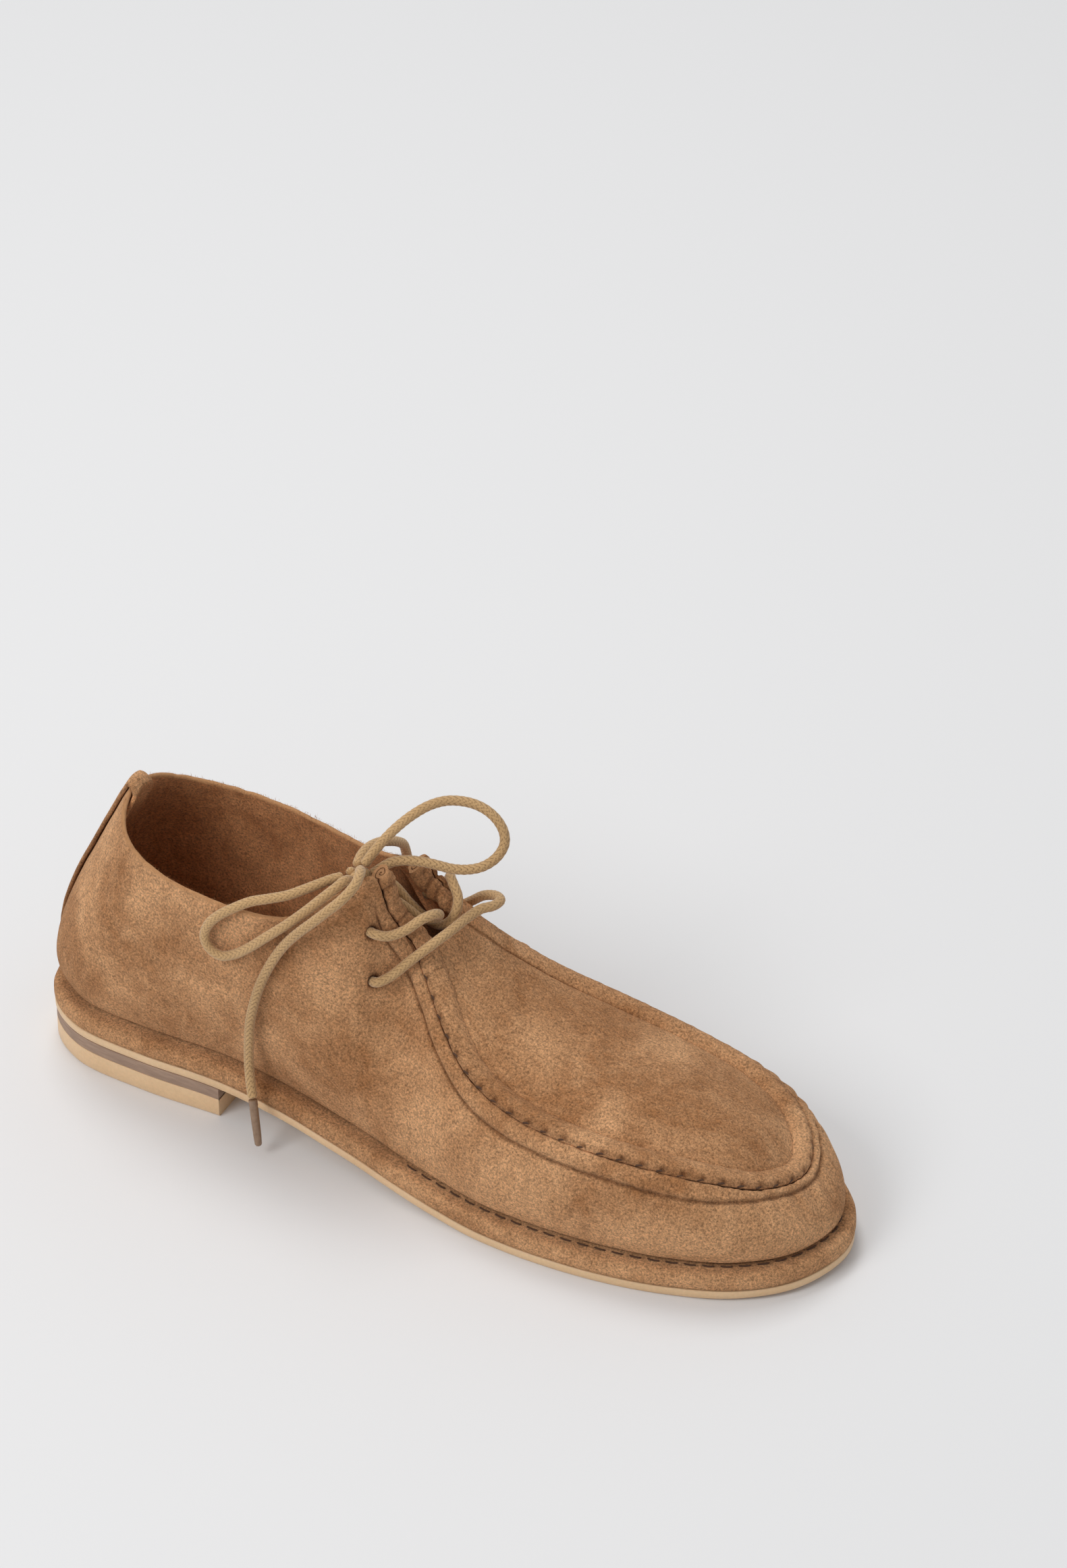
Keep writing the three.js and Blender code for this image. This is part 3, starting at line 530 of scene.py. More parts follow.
# Heel: a light rubber top piece and a leatherboard lift, cut straight across at the breast.
rubber, tree, shader = new_material("sole_rubber", Roughness=0.42, Subsurface_Weight=0.08)
coordinates = node(tree, "ShaderNodeTexCoord").outputs["Object"]
specks = noisy(tree, coordinates, 900, 2)
rubber_colour = mixed(tree, noisy(tree, coordinates, 45, 5), (0.69, 0.43, 0.23, 1), (0.84, 0.57, 0.34, 1))
rubber_colour = mixed(tree, 1.0, rubber_colour, grey(tree, ranged(tree, specks, 0.0, 1.0, 0.9, 1.1)), "MULTIPLY")
surfaced(tree, shader, rubber_colour, specks, 0.00008)
leatherboard = two_toned("leatherboard", (0.17, 0.10, 0.07), (0.52, 0.36, 0.26), 0.0003, "Noise",
                         {"Scale": 130, "Detail": 6, "Roughness": 0.7}, stretch=(1, 1, 9), Roughness=0.75)


def slab(name, profile, floor, material, until=TOE, stop=None, columns=217, across=14, wave=0.0):
    """A layer of the sole: its side's profile (inset, height) carried round the edge and closed
    across the top and bottom. stop cuts it straight across there."""
    station = np.linspace(0, until, columns)

    def side(way, inset, height):
        rows = edge_points(way, inset + 0 * way, lambda x: floor(x) + height)
        if stop is not None:
            rows[:, 0] = np.minimum(rows[:, 0], stop)
        return rows

    outer = [side(station, inset, height) for inset, height in profile]
    inner = [side(TURN - station, inset, height) for inset, height in profile]

    def face(first, last, height):
        rows = [first + (last - first) * share for share in np.linspace(0, 1, across)[1:-1]]
        for row in rows:
            row[:, 2] = floor(row[:, 0]) + height
        return rows

    bottom = face(outer[0], inner[0], profile[0][1])
    top = face(inner[-1], outer[-1], profile[-1][1])
    points = np.array([outer[0], *bottom, *inner, *top, *outer[::-1]])
    if wave:
        points[..., :2] += (ripple(points, 26) * wave)[..., None] * np.array([0.4, 1.0])
    return made(name, patch(points), material)


BREAST = 3.95               # station of the heel's straight breast
EDGE_IN = 0.6
top_piece = slab("heel_top_piece_rubber", [
    (EDGE_IN + 1.0, 0), (EDGE_IN + 0.3, 0.3), (EDGE_IN, 0.9), (EDGE_IN, 4.0), (EDGE_IN, TOP_PIECE - 0.5),
    (EDGE_IN + 0.15, TOP_PIECE - 0.12), (EDGE_IN + 0.5, TOP_PIECE - 0.02)],
    lambda x: 0 * x, rubber, until=BREAST, stop=HEEL_LENGTH, columns=96)
lift = slab("heel_lift_board", [
    (EDGE_IN + 0.5, 0.03), (EDGE_IN + 0.12, 0.15), (EDGE_IN, 0.5), (EDGE_IN, 2.5), (EDGE_IN, LIFT - 0.7),
    (EDGE_IN + 0.12, LIFT - 0.4), (EDGE_IN + 0.5, LIFT - 0.3)],
    lambda x: TOP_PIECE + (sole_bottom(x) - TOP_PIECE - LIFT), leatherboard, until=BREAST,
    stop=HEEL_LENGTH, columns=96)
placed(top_piece, "shoe", "heel_top_piece")
placed(lift, "shoe", "heel_lift")

# Outsole: one sheet of light rubber, 3.3 mm thick, trimmed flush with the platform's edge.
outsole = slab("outsole_rubber", [
    (1.5, 0), (0.6, 0.12), (0.3, 0.5), (0.25, 1.6), (0.3, OUTSOLE - 0.35), (0.5, OUTSOLE - 0.08),
    (1.0, OUTSOLE)], sole_bottom, rubber, wave=0.05)
placed(outsole, "shoe", "outsole")

# Platform wrap: suede drawn over the platform's edge and lasted in under the upper.
stations = np.linspace(0, TURN, 721)
section = np.array([
    (1.3, 0.12), (0.6, 0.25), (0.15, 0.8), (0, 1.8), (0, 3.4), (0.1, 4.6), (0.5, 5.7), (1.2, 6.45),
    (2.1, 6.85), (3.2, 7.0), (4.4, 7.02), (5.6, 7.12), (7.5, 7.2), (11, 6.9), (14.4, 6.8), (15, 6.3),
    (14.4, 5.6), (9, 5.5), (3, 5.45), (1.8, 4.9), (1.5, 3.6), (1.5, 1.4), (1.4, 0.5), (1.3, 0.12)])
rim, _ = plan(edge_curve, stations)
welted = smooth((nearer_way(stations) - 9.5) / 1.5)
WELT_PITCH = 6.2
round_edge = run_along(rim)
wrap_points = []
for inset, height in section:
    bulge = ripple(rim, 17, 3) * 0.22 + ripple(rim, 6, 8) * 0.1
    outside = max(0.0, 1 - inset / 1.4)
    pulled = 0.2 * welted * (0.5 - 0.5 * np.cos(2 * np.pi * round_edge / WELT_PITCH)) * (2.5 < inset < 6.5)
    wrap_points.append(edge_points(stations, inset - bulge * outside,
                                   lambda x: sole_top(x) + height - pulled + 0.12 * bulge * (height > 5.7)))
wrap_points = np.array(wrap_points)
# Painted shade: darker along the wrap's lowest edge, where it meets the outsole.
low_edge_shade = np.exp(-((section[:, 1] - 0.1) / 0.9) ** 2)[:, None]
wrap = made("platform_wrap_suede", patch(wrap_points, {"crease": 0.55 * low_edge_shade}), suede)
placed(wrap, "shoe", "platform_wrap")

# Upper: the outer piece runs from the back seam round the toe to the medial seam, and the inner
# quarter from there to the heel. Both are unlined suede, 1.8 mm thick, cut raw at the collar.
BACK_SEAM = 0.02
SEAM_BASE = 26.6
SEAM_TOP = 24.7
RIB_START = 9.6
STITCH_PITCH = 7.0
BAND_THROAT = 8.8           # from the hand stitches out to the crease, at the throat
BAND_TOE = 7.4
BAND_TUCK = 4.2             # how much of it goes in under the rib at the toe's end
EYELET_SITES = [(7.45, 0.84), (7.95, 0.72)]
EYELET = 4.6
rim_line = top_curve(ROUND)
rim_line[:, 2] += platform_top(rim_line[:, 0])
rim_run = run_along(rim_line)


def rim_distance(station):
    """Millimetres round the top line from the heel's back."""
    return np.interp(station % TURN, ROUND, rim_run)


first_stitch = rim_distance(RIB_START - 0.2)


def stitch_wave(station):
    """1 at each hand stitch's hole and 0 between them."""
    phase = (rim_distance(station) - first_stitch) / STITCH_PITCH
    return (0.5 + 0.5 * np.cos(2 * np.pi * phase)) ** 4


def relief(station, v):
    """How the upper stands off the last: its band and crease round the apron, the pull of the
    stitches, the gathers at the toe, and soft unevenness; and the painted shade that darkens it along the
    crease, at the wall's foot and in the eyelets."""
    place = wall_points(station, v)
    height = np.linalg.norm(wall_points(station, 0 * v) - wall_points(station, 0 * v + 1), axis=-1)
    down = (1 - v) * height * 1.1
    along = nearer_way(station)
    banded = smooth((along - 7.0) / 0.8)
    toe = smooth((along - 12.5) / 3)
    band = BAND_THROAT + (BAND_TOE - BAND_THROAT) * smooth((along - 9) / 9) + 0.35 * ripple(place, 9, 5)
    band = band - BAND_TUCK * smooth((along - 15.4) / 1.7)
    across = np.clip(down / band, 0, 1)
    raised = 0.55 * np.sin(np.pi * across) ** 0.7
    crease = 0.9 * np.exp(-((down - band) / 0.85) ** 2)
    pull = 0.6 * stitch_wave(station) * np.exp(-(down / 1.9) ** 2)
    phase = (rim_distance(station) - first_stitch) / STITCH_PITCH
    gather = 0.42 * toe * np.cos(2 * np.pi * phase + 1.5 * ripple(place, 12, 2))
    gather = gather * np.exp(-((down - 6.5) / 4.5) ** 2)
    bunched = smooth((8.9 - along) / 0.9) * smooth((along - 7.0) / 0.4) * np.exp(-((down - 4.5) / 4.8) ** 2)
    gather = gather + bunched * (0.75 * ripple(place * np.array([0.5, 0.5, 1.0]), 2.3, 13)
                                 + 0.35 * ripple(place, 1.7, 14) + 0.5)
    soft = 0.5 * ripple(place, 36, 1) + 0.3 * ripple(place, 15, 4) + 0.1 * ripple(place, 5, 6) - 0.15
    soft = soft * (1 - 0.55 * toe) * smooth(v / 0.08)
    tuck = -0.8 * np.exp(-(v * height / 1.2) ** 2)
    # Painted shade: darker along the crease round the band, at the wall's foot where it meets the platform, and
    # in the eyelet holes.
    dark = np.clip(1.1 * np.exp(-((down - band) / 0.75) ** 2) * banded, 0, 1) * 0.6
    dark = np.maximum(dark, 0.6 * np.exp(-(v * height / 0.7) ** 2))
    for eyelet_station, eyelet_v in EYELET_SITES:
        for at in (eyelet_station, TURN - eyelet_station):
            away = np.linalg.norm(place - wall_points(np.array([[at]]), np.array([[eyelet_v]])), axis=-1)
            tuck = tuck - 1.5 * np.exp(-(away / (EYELET / 2)) ** 6)
            tuck = tuck - 0.35 * np.exp(-(away / (EYELET * 0.75)) ** 2)
            dark = np.maximum(dark, np.exp(-(away / (EYELET * 0.56)) ** 10))
    return banded * (raised - crease - pull + gather) + soft + tuck, dark


def seam(v):
    return SEAM_BASE + (SEAM_TOP - SEAM_BASE) * v


def close_ends(count, fine):
    """Shares from 0 to 1 with a few close ones at each end, for a rounded edge."""
    near = np.array([0, 0.12, 0.35, 0.7, 1.1]) * fine
    return np.concatenate([near, np.linspace(1.7 * fine, 1 - 1.7 * fine, count), 1 - near[::-1]])


def wall_shell(name, start, stop, columns, rows, lap):
    """A piece of the wall with its thickness: outer face up, over the top edge, inner face down.
    lap(station, v) moves it outwards."""
    share = close_ends(columns, 0.9 / 25 / (stop(0) - start(0)))
    level = 0.5 - 0.5 * np.cos(np.pi * np.linspace(0, 1, rows))
    u, v = np.meshgrid(share, level)
    station = start(v) + (stop(v) - start(v)) * u
    place = wall_points(station, v)
    height = np.linalg.norm(wall_points(station, 0 * v) - wall_points(station, 0 * v + 1), axis=-1)
    width = np.linalg.norm(np.diff(place, axis=1), axis=-1).sum(axis=1)[:, None]
    inset = np.minimum(np.minimum(u, 1 - u) * width, np.minimum(v, 1 - v) * height * 1.1)
    roundness = rounded(inset, SUEDE)
    lift, dark = relief(station, v)
    lift = lift + lap(station, v)
    outer = on_wall(station, v, lift - SUEDE / 2 + SUEDE / 2 * roundness)
    inner = on_wall(station, v, lift - SUEDE / 2 - SUEDE / 2 * roundness)
    collar = (1 - v) * height < 1.4
    frayed = 0.35 * ripple(place, 2.2, 11) + 0.25 * ripple(place, 7, 12)
    for face in (outer, inner):
        face[..., 2] += np.where(collar, frayed, 0) * smooth((1.5 - (1 - v) * height) / 1.5)
    points = np.concatenate([outer, inner[::-1]])
    cut = np.exp(-((1 - v) * height / 0.75) ** 2) * (nearer_way(station) < 7.6)
    # Painted shade from relief darkens the outer face only; the inner face takes the inside tone, partly painted
    # light.
    marks = {
        "cut": np.concatenate([cut, cut[::-1]]),
        "crease": np.concatenate([dark, 0 * dark]),
        "inside": np.concatenate([0 * v, 0 * v + 1]),
    }
    return made(name, patch(points, marks), suede)


def over_the_seam(station, v):
    return 0.85 * smooth((station - seam(v) + 0.35) / 0.25)


def under_the_seam(station, v):
    return -1.25 * smooth((seam(v) + 0.16 - station) / 0.14)


outer_piece = wall_shell("outer_quarter_and_toe_suede", lambda v: BACK_SEAM + 0 * v,
                         lambda v: seam(v) - BACK_SEAM, 500, 84, over_the_seam)
placed(outer_piece, "shoe", "outer_quarter_and_toe")
inner_piece = wall_shell("inner_quarter_suede", lambda v: seam(v) - 0.22,
                         lambda v: TURN - BACK_SEAM + 0 * v, 220, 76, under_the_seam)
placed(inner_piece, "shoe", "inner_quarter")

# The collar's raw edge sheds short fibres, bent every way.
FIBRES = 2600
shed = np.random.default_rng(5)
at_edge = np.concatenate([shed.uniform(0.7, 6.9, FIBRES // 2), TURN - shed.uniform(0.7, 6.9, FIBRES // 2)])
roots = on_wall(at_edge, np.full(FIBRES, 0.997), shed.uniform(-SUEDE * 0.9, 0.1, FIBRES))
roots[:, 2] += shed.uniform(-0.25, 0.1, FIBRES)
bend = shed.normal(0, 0.45, (FIBRES, 3)) + [0, 0, 0.55]
reach = shed.uniform(0.35, 1.1, FIBRES)[:, None]
width = shed.normal(0, 1, (FIBRES, 3))
width *= 0.07 / np.linalg.norm(width, axis=1, keepdims=True)
tips = roots + bend * reach
bm = bmesh.new()
for root, tip, half in zip(in_frame(roots), in_frame(tips), width * MM):
    corners = [bm.verts.new(corner) for corner in (root - half, root + half, tip)]
    corners.append(bm.verts.new(root + np.cross(half, tip - root) / np.linalg.norm(tip - root)))
    for face in ((0, 1, 2), (1, 3, 2), (3, 0, 2), (0, 3, 1)):
        bm.faces.new([corners[at] for at in face])
fibres = made("collar_raw_fibres", bm, suede, merge=1e-7)
placed(fibres, "shoe")

# Apron: the plug over the instep, crowned across, its edge turned down under the rib.
RIB = 6.4
RIB_INWARD = SUEDE + SEAT + RIB / 2
APRON_CROWN = 0.13
APRON_LENGTH = 150          # about, for the rounding of its ends
columns, rows = 190, 90
share_along = close_ends(columns, 0.0022)
level = 0.5 - 0.5 * np.cos(np.pi * np.linspace(0, 1, rows))
u, w = np.meshgrid(share_along, level)
station = RIB_START - 0.25 + (0.985 * TOE - RIB_START + 0.25) * u
left = rim_points(station, RIB_INWARD + 0.9 + 0 * u, 0)
right = rim_points(TURN - station, RIB_INWARD + 0.9 + 0 * u, 0)
width = np.linalg.norm(left - right, axis=-1)
apron_face = left + (right - left) * w[..., None]
crown = 1 - np.abs(2 * w - 1) ** 2.2
apron_face[..., 2] += APRON_CROWN * width * crown - 0.4
near_edge = np.minimum(w, 1 - w) * width
apron_face[..., 2] -= 1.5 * np.exp(-(near_edge / 2.0) ** 2)
dent = np.exp(-((apron_face[..., 0] - 158) / 7) ** 2 - ((apron_face[..., 1] + 4) / 9) ** 2)
pucker = np.exp(-((apron_face[..., 0] - 152) / 9) ** 2) * ripple(apron_face * [1.0, 1.9, 0.6], 9, 20)
apron_face[..., 2] += (0.7 * ripple(apron_face, 34, 21) + 0.3 * ripple(apron_face, 13, 22)
                       + 0.08 * ripple(apron_face, 5, 23) - 2.8 * dent + 1.5 * pucker) * smooth(near_edge / 6)
inset = np.minimum(near_edge, np.minimum(u, 1 - u) * APRON_LENGTH)
roundness = rounded(inset, SUEDE)[..., None]
across = np.gradient(apron_face, axis=0)
onward = np.gradient(apron_face, axis=1)
normal = np.cross(across, onward)
normal *= np.sign(normal[..., 2:3])
normal /= np.maximum(np.linalg.norm(normal, axis=-1, keepdims=True), 1e-9)
top = apron_face + normal * SUEDE / 2 * roundness
under = apron_face - normal * SUEDE / 2 * roundness
# Painted shade: the apron's top face is darkened near its edge, where it goes in under the rib.
seam_shade = np.exp(-(near_edge / 1.3) ** 2)
apron = made("apron_suede", patch(np.concatenate([top, under[::-1]]), {
    "crease": np.concatenate([0.6 * seam_shade, 0 * seam_shade]),
    "inside": np.concatenate([0 * w, 0 * w + 1])}), suede)
placed(apron, "shoe", "apron")

# Rib: the apron's edge and the upper's, pinched up together by the hand stitches into a roll.
RIB_HALF_WIDTH = 4.1
RIB_HALF_HEIGHT = 2.7
RIB_OUTWARD = 0.75          # how far the rib crowds the upper's edge
RIB_COLUMNS = 861
stations = np.linspace(RIB_START - 0.35, TURN - RIB_START + 0.35, RIB_COLUMNS)
centre = rim_points(stations, RIB_INWARD - RIB_OUTWARD + 0 * stations, 0.1 * RIB / 2)
_, level_out = plan(top_curve, stations)
phase = (rim_distance(stations) - first_stitch) / STITCH_PITCH
at_toe = smooth((nearer_way(stations) - 12.5) / 3)
turn = np.linspace(0, 2 * np.pi, 29)[:, None]
outward, upward = np.cos(turn), np.sin(turn)
folds = (0.05 + 0.03 * at_toe) * np.cos(2 * np.pi * phase + 1.2 * ripple(centre, 10, 30))
pinch = 0.28 * stitch_wave(stations) * np.clip(outward, 0, 1) ** 2
column = np.arange(RIB_COLUMNS)
taper = np.sqrt(np.clip(np.minimum(column, column[::-1]) / 3, 0, 1))
girth = (1 + (folds * 0.35 + 0.05 * ripple(centre, 22, 31) - pinch * 0.25)) * taper
offset = (level_out[None] * (RIB_HALF_WIDTH * outward * girth)[..., None]
          + np.array([0, 0, 1.0]) * (RIB_HALF_HEIGHT * upward * girth)[..., None])
points = centre[None] + offset
points += 0.12 * (offset / 3) * ripple(points, 4, 32)[..., None]
# Painted shade: the rib is darkened along its stitched outer side, most at each stitch, and along its inner foot
# against the apron.
valley_shade = np.clip(1.3 - np.abs(turn - 0.35) * 2.2, 0, 1) * (0.25 + 0.6 * stitch_wave(stations))
valley_shade = np.maximum(valley_shade, np.exp(-((turn - np.pi * 0.93) / 0.16) ** 2) * 0.65)
rib = made("apron_rib_suede", patch(points, {"crease": np.clip(valley_shade, 0, 1)}), suede)
placed(rib, "shoe", "apron_rib")

# Facing rolls: past the rib's ends the same edges are rolled up on themselves and gathered.
ROLL = 8
ROLL_TOP = 7.25
ROLL_TURNS = 2.1
ROLL_SHEET = 1.25           # one turn of the rolled edge
ROLL_PLEATS = 4.2
for name, way, seed in (("lateral", 1, 40), ("medial", -1, 50)):
    along = np.linspace(ROLL_TOP, RIB_START + 0.15, 150)
    plump, inward, raised = (0.35, 3.9, 0.4) if way > 0 else (0.2, 4.3, 0.2)
    radius = np.interp(along, [ROLL_TOP, ROLL_TOP + 0.25, RIB_START],
                       [ROLL / 2 + plump - 0.2, ROLL / 2 + plump, RIB / 2 + 0.3])
    stations = along if way > 0 else TURN - along
    centre = rim_points(stations, np.interp(along, [ROLL_TOP, RIB_START], [inward, RIB_INWARD - RIB_OUTWARD]),
                        np.interp(along, [ROLL_TOP, RIB_START], [raised, 0.1]) * radius)
    turned_up = np.clip(1 - (along - ROLL_TOP) / 0.85, 0, 1)[:, None] ** 2
    centre = centre + turned_up * (np.array([0.5, 0.6, -0.6]) if way > 0 else np.array([1.0, -2.0, 3.2]))
    ahead = square_frames(centre)[0]
    _, level_out = plan(top_curve, stations)
    side = level_out - ahead * np.sum(level_out * ahead, axis=1, keepdims=True)
    side /= np.linalg.norm(side, axis=1, keepdims=True)
    up = np.cross(ahead, side)
    spin = np.linspace(0, ROLL_TURNS, 84)
    spiral_out = 1 - spin / ROLL_TURNS * 0.86
    spiral_in = spiral_out - ROLL_SHEET / (ROLL / 2)
    outer_turn = list(zip(spin, spiral_out))
    inner_turn = list(zip(spin[::-1], np.maximum(spiral_in[::-1], 0.04)))
    loop = np.array(outer_turn + inner_turn + outer_turn[:1])
    angle = (loop[:, 0] * 2 * np.pi * way + 0.6)[:, None]
    run = np.linspace(0, 1, len(along))[None]
    pleat_at = run * ROLL_PLEATS + 0.35 * np.sin(angle + seed) + 0.6 * ripple(centre, 6, seed)[None]
    gathers = 0.5 * ripple(centre, 2.2, seed + 1)[None] - (0.5 + 0.5 * np.cos(2 * np.pi * pleat_at)) ** 4
    fade = np.clip(1.3 - 1.15 * run, 0.1, 1)
    reach = loop[:, 1:2] * radius[None] * (1 + 0.2 * gathers * fade)
    place = (centre[None] + (1.32 * reach * np.cos(angle))[..., None] * side[None]
             + (0.98 * reach * np.sin(angle))[..., None] * up[None])
    place += 0.5 * ripple(place, 2.4, seed + 3)[..., None] * (place - centre[None]) / 4 * fade[..., None]
    # Painted shade: the valleys between the pleats and the roll's inner turns are darkened.
    groove_shade = np.clip(-gathers * 1.2, 0, 1) * fade * 0.5
    roll = made(f"facing_roll_{name}_suede", patch(place, {
        "crease": np.maximum(groove_shade, 0.45 * (loop[:, 0:1] > 1.05)),
        "cut": np.exp(-(run * 30) ** 2) * 0.5 + 0 * angle}), suede)
    placed(roll, "shoe", f"facing_roll_{name}")

# Tongue: a small suede tab sewn under the apron's end, lying below the rolls.
TONGUE_LENGTH = 37
TONGUE_WIDTH = 28
throat = (rim_points(np.array(RIB_START), np.array(0.0), 0)
          + rim_points(np.array(TURN - RIB_START), np.array(0.0), 0)) / 2
tongue_line = spline([(-1.5, -6.5, 11), (-7, -5.5, 12.5), (-15, 1, 13.5), (-22, 10.5, 14.5), (-28, 17.5, 15)])
u, w = np.meshgrid(close_ends(46, 0.012), close_ends(44, 0.012))
shape = tongue_line(u * 4)
cockle = 0.35 * ripple(np.stack([u, w, 0 * u], -1), 0.3, 60)
tongue_mid = np.stack([
    throat[0] + shape[..., 0],
    throat[1] + (2 * w - 1) * shape[..., 2] * (1 - 0.1 * smooth((u - 0.8) / 0.2)),
    throat[2] + shape[..., 1] - 2.5 * (2 * w - 1) ** 2 - 0.9 + cockle], axis=-1)
inset = np.minimum(np.minimum(u, 1 - u) * TONGUE_LENGTH, np.minimum(w, 1 - w) * TONGUE_WIDTH)
roundness = rounded(inset, SUEDE)[..., None]
lift = np.array([0.5, 0, 0.87]) * SUEDE / 2 * roundness
# Painted shade: the whole tongue is darkened (crease 0.6) for the shade of the gap it lies in under the rolls;
# both faces take the inside tone, partly painted light.
tongue = made("tongue_suede", patch(np.concatenate([tongue_mid + lift, (tongue_mid - lift)[::-1]]), {
    "cut": np.concatenate([np.exp(-(inset / 0.8) ** 2)] * 2),
    "crease": 0.6, "inside": np.concatenate([1 + 0 * u, 0 * u + 1])}), suede)
placed(tongue, "tongue", "tongue")

# Backstay: a suede strip over the back seam, folded over the collar and sewn down inside.
BACKSTAY = 11
TAB = 22
TAB_DROP = 17
STRIP = 1.5
STRIP_LENGTH = 130          # about, for the rounding of its ends
wall_top = wall_points(np.array(0.0), np.array(1.0))
tab_end = 1 - TAB_DROP / (wall_top[2] - platform_top(wall_top[0]))
route = spline([(0.09, 1.1, 0, BACKSTAY), (0.4, 1.15, 0, BACKSTAY), (0.75, 1.15, 0, BACKSTAY),
                (0.93, 1.1, 0, BACKSTAY), (1.0, 1.0, 0.35, BACKSTAY), (1.0, -0.9, 1.2, BACKSTAY + 2),
                (1.0, -2.8, 0.2, BACKSTAY + 6), (0.93, -3.1, 0, TAB), (tab_end, -3.15, 0, TAB - 1)])
u, w = np.meshgrid(close_ends(150, 0.006), close_ends(30, 0.03))
route_at = route(u * 8)
one_on, start_at = (wall_points(np.array(station), np.array(0.9)) for station in (1.0, 0.0))
per_station = np.linalg.norm(one_on - start_at)
reach = (2 * w - 1) * route_at[..., 3] / 2
reach = reach * (1 - 0.16 * smooth((u - 0.95) / 0.05) * np.abs(2 * w - 1) ** 3)
strip_at = (reach / per_station, np.clip(route_at[..., 0], 0, 1))
strip_wall = on_wall(*strip_at, 0)
strip_normal = wall_normals(*strip_at)
uneven = 0.35 * ripple(strip_wall, 14, 70) + 0.15 * ripple(strip_wall, 5, 71)
base_lift, _ = relief(*strip_at)
mid = strip_wall + strip_normal * (route_at[..., 1] + base_lift)[..., None]
mid[..., 2] += route_at[..., 2] + 0.3 * uneven
face = np.cross(np.gradient(mid, axis=0), np.gradient(mid, axis=1))
face /= np.linalg.norm(face, axis=-1, keepdims=True)
inset = np.minimum(np.minimum(u, 1 - u) * STRIP_LENGTH, np.minimum(w, 1 - w) * route_at[..., 3])
roundness = rounded(inset, STRIP)[..., None]
if face[15, 20] @ strip_normal[15, 20] < 0:
    face = -face
# Painted shade: the strip is darkened within about 0.7 mm of its edges down the outside of the back; the part
# turned in over the collar takes the inside tone, partly painted light.
edge_shade = np.exp(-(inset / 0.7) ** 2)
inside_lightening = 0.75 * smooth((u - 0.72) / 0.05)
backstay = made("backstay_suede", patch(
    np.concatenate([mid + face * STRIP / 2 * roundness, (mid - face * STRIP / 2 * roundness)[::-1]]), {
        "crease": np.concatenate([0.4 * edge_shade * (1 - smooth((u - 0.6) / 0.1))] * 2),
        "inside": np.concatenate([inside_lightening, inside_lightening])}), suede)
placed(backstay, "shoe", "backstay")

# Footbed: a thin leather sock glued over the insole board.
BOARD = 2
SOCK = 1.2
FOOTBED_IN = LEDGE + SUEDE + 1.2 + 5 * SEAT
sock_leather = suede_material("sock_leather", (0.15, 0.07, 0.03, 1), (0.27, 0.14, 0.065, 1), 24.0, 0.0001)
sock = slab("sock_lining_leather", [(FOOTBED_IN + 0.9, 0), (FOOTBED_IN + 0.35, 0.3), (FOOTBED_IN + 0.3, 0.8),
                                    (FOOTBED_IN + 0.6, SOCK)],
            lambda x: platform_top(x) + BOARD + 2 * SEAT, sock_leather, across=30)
placed(sock, "shoe", "sock_lining")

# Threads: thick waxed hand stitches in the apron's seam, wavy welt stitches round the forepart,
# and fine light ones down the medial seam.
def thread_material(name, colour, shine):
    return two_toned(name, [0.45 * part for part in colour], colour, 0.0001, "Wave",
                     {"Scale": 900, "Distortion": 1.5}, Roughness=shine)


dark_thread = thread_material("dark_thread", (0.12, 0.052, 0.021), 0.6)
light_thread = thread_material("light_thread", (0.62, 0.42, 0.22), 0.7)


def stitches(name, spans, thickness, material, sides=7, steps=9):
    """Short stitches, each an arch of thread over its span: from, to, and the way up out of the
    leather and how far it rises. All are one piece."""
    bm = bmesh.new()
    for start, end, rise in spans:
        start, end, rise = np.array(start), np.array(end), np.array(rise)
        t = np.linspace(0, 1, steps)
        line = start + (end - start) * t[:, None] + rise * (np.sin(np.pi * t) ** 0.6)[:, None]
        _, side, up = square_frames(line)
        reach = thickness / 2 * np.sqrt(np.clip(np.minimum(t, 1 - t) * (steps - 1), 0.01, 1))
        turn = np.linspace(0, 2 * np.pi, sides + 1)[:, None]
        one = patch(ringed(line, side, up, reach, turn))
        mesh = bpy.data.meshes.new("stitch")
        one.to_mesh(mesh)
        one.free()
        bm.from_mesh(mesh)
        bpy.data.meshes.remove(mesh)
    return made(name, bm, material, merge=2e-6)


def off_rim(station, inward, up):
    return rim_points(np.array(float(station)), np.array(float(inward)), up)


HALF_STITCH = 2.2
whole = rim_distance(TURN - RIB_START + 0.2) - first_stitch
stations_fine = np.linspace(RIB_START - 0.2, TURN - RIB_START + 0.2, 2000)
runs_fine = rim_distance(stations_fine) - first_stitch
spans = []
for number in range(int(whole / STITCH_PITCH) + 1):
    run = number * STITCH_PITCH
    here, there = (np.interp(np.clip(run + along, 0, whole), runs_fine, stations_fine)
                   for along in (-HALF_STITCH, HALF_STITCH))
    spans.append((off_rim(here, 0.5, -0.3), off_rim(there, 1.5, -0.1), (0, 0, 0.75)))
apron_stitches = stitches("apron_hand_stitches", spans, 1.0, dark_thread)
placed(apron_stitches, "shoe", "apron_thread")

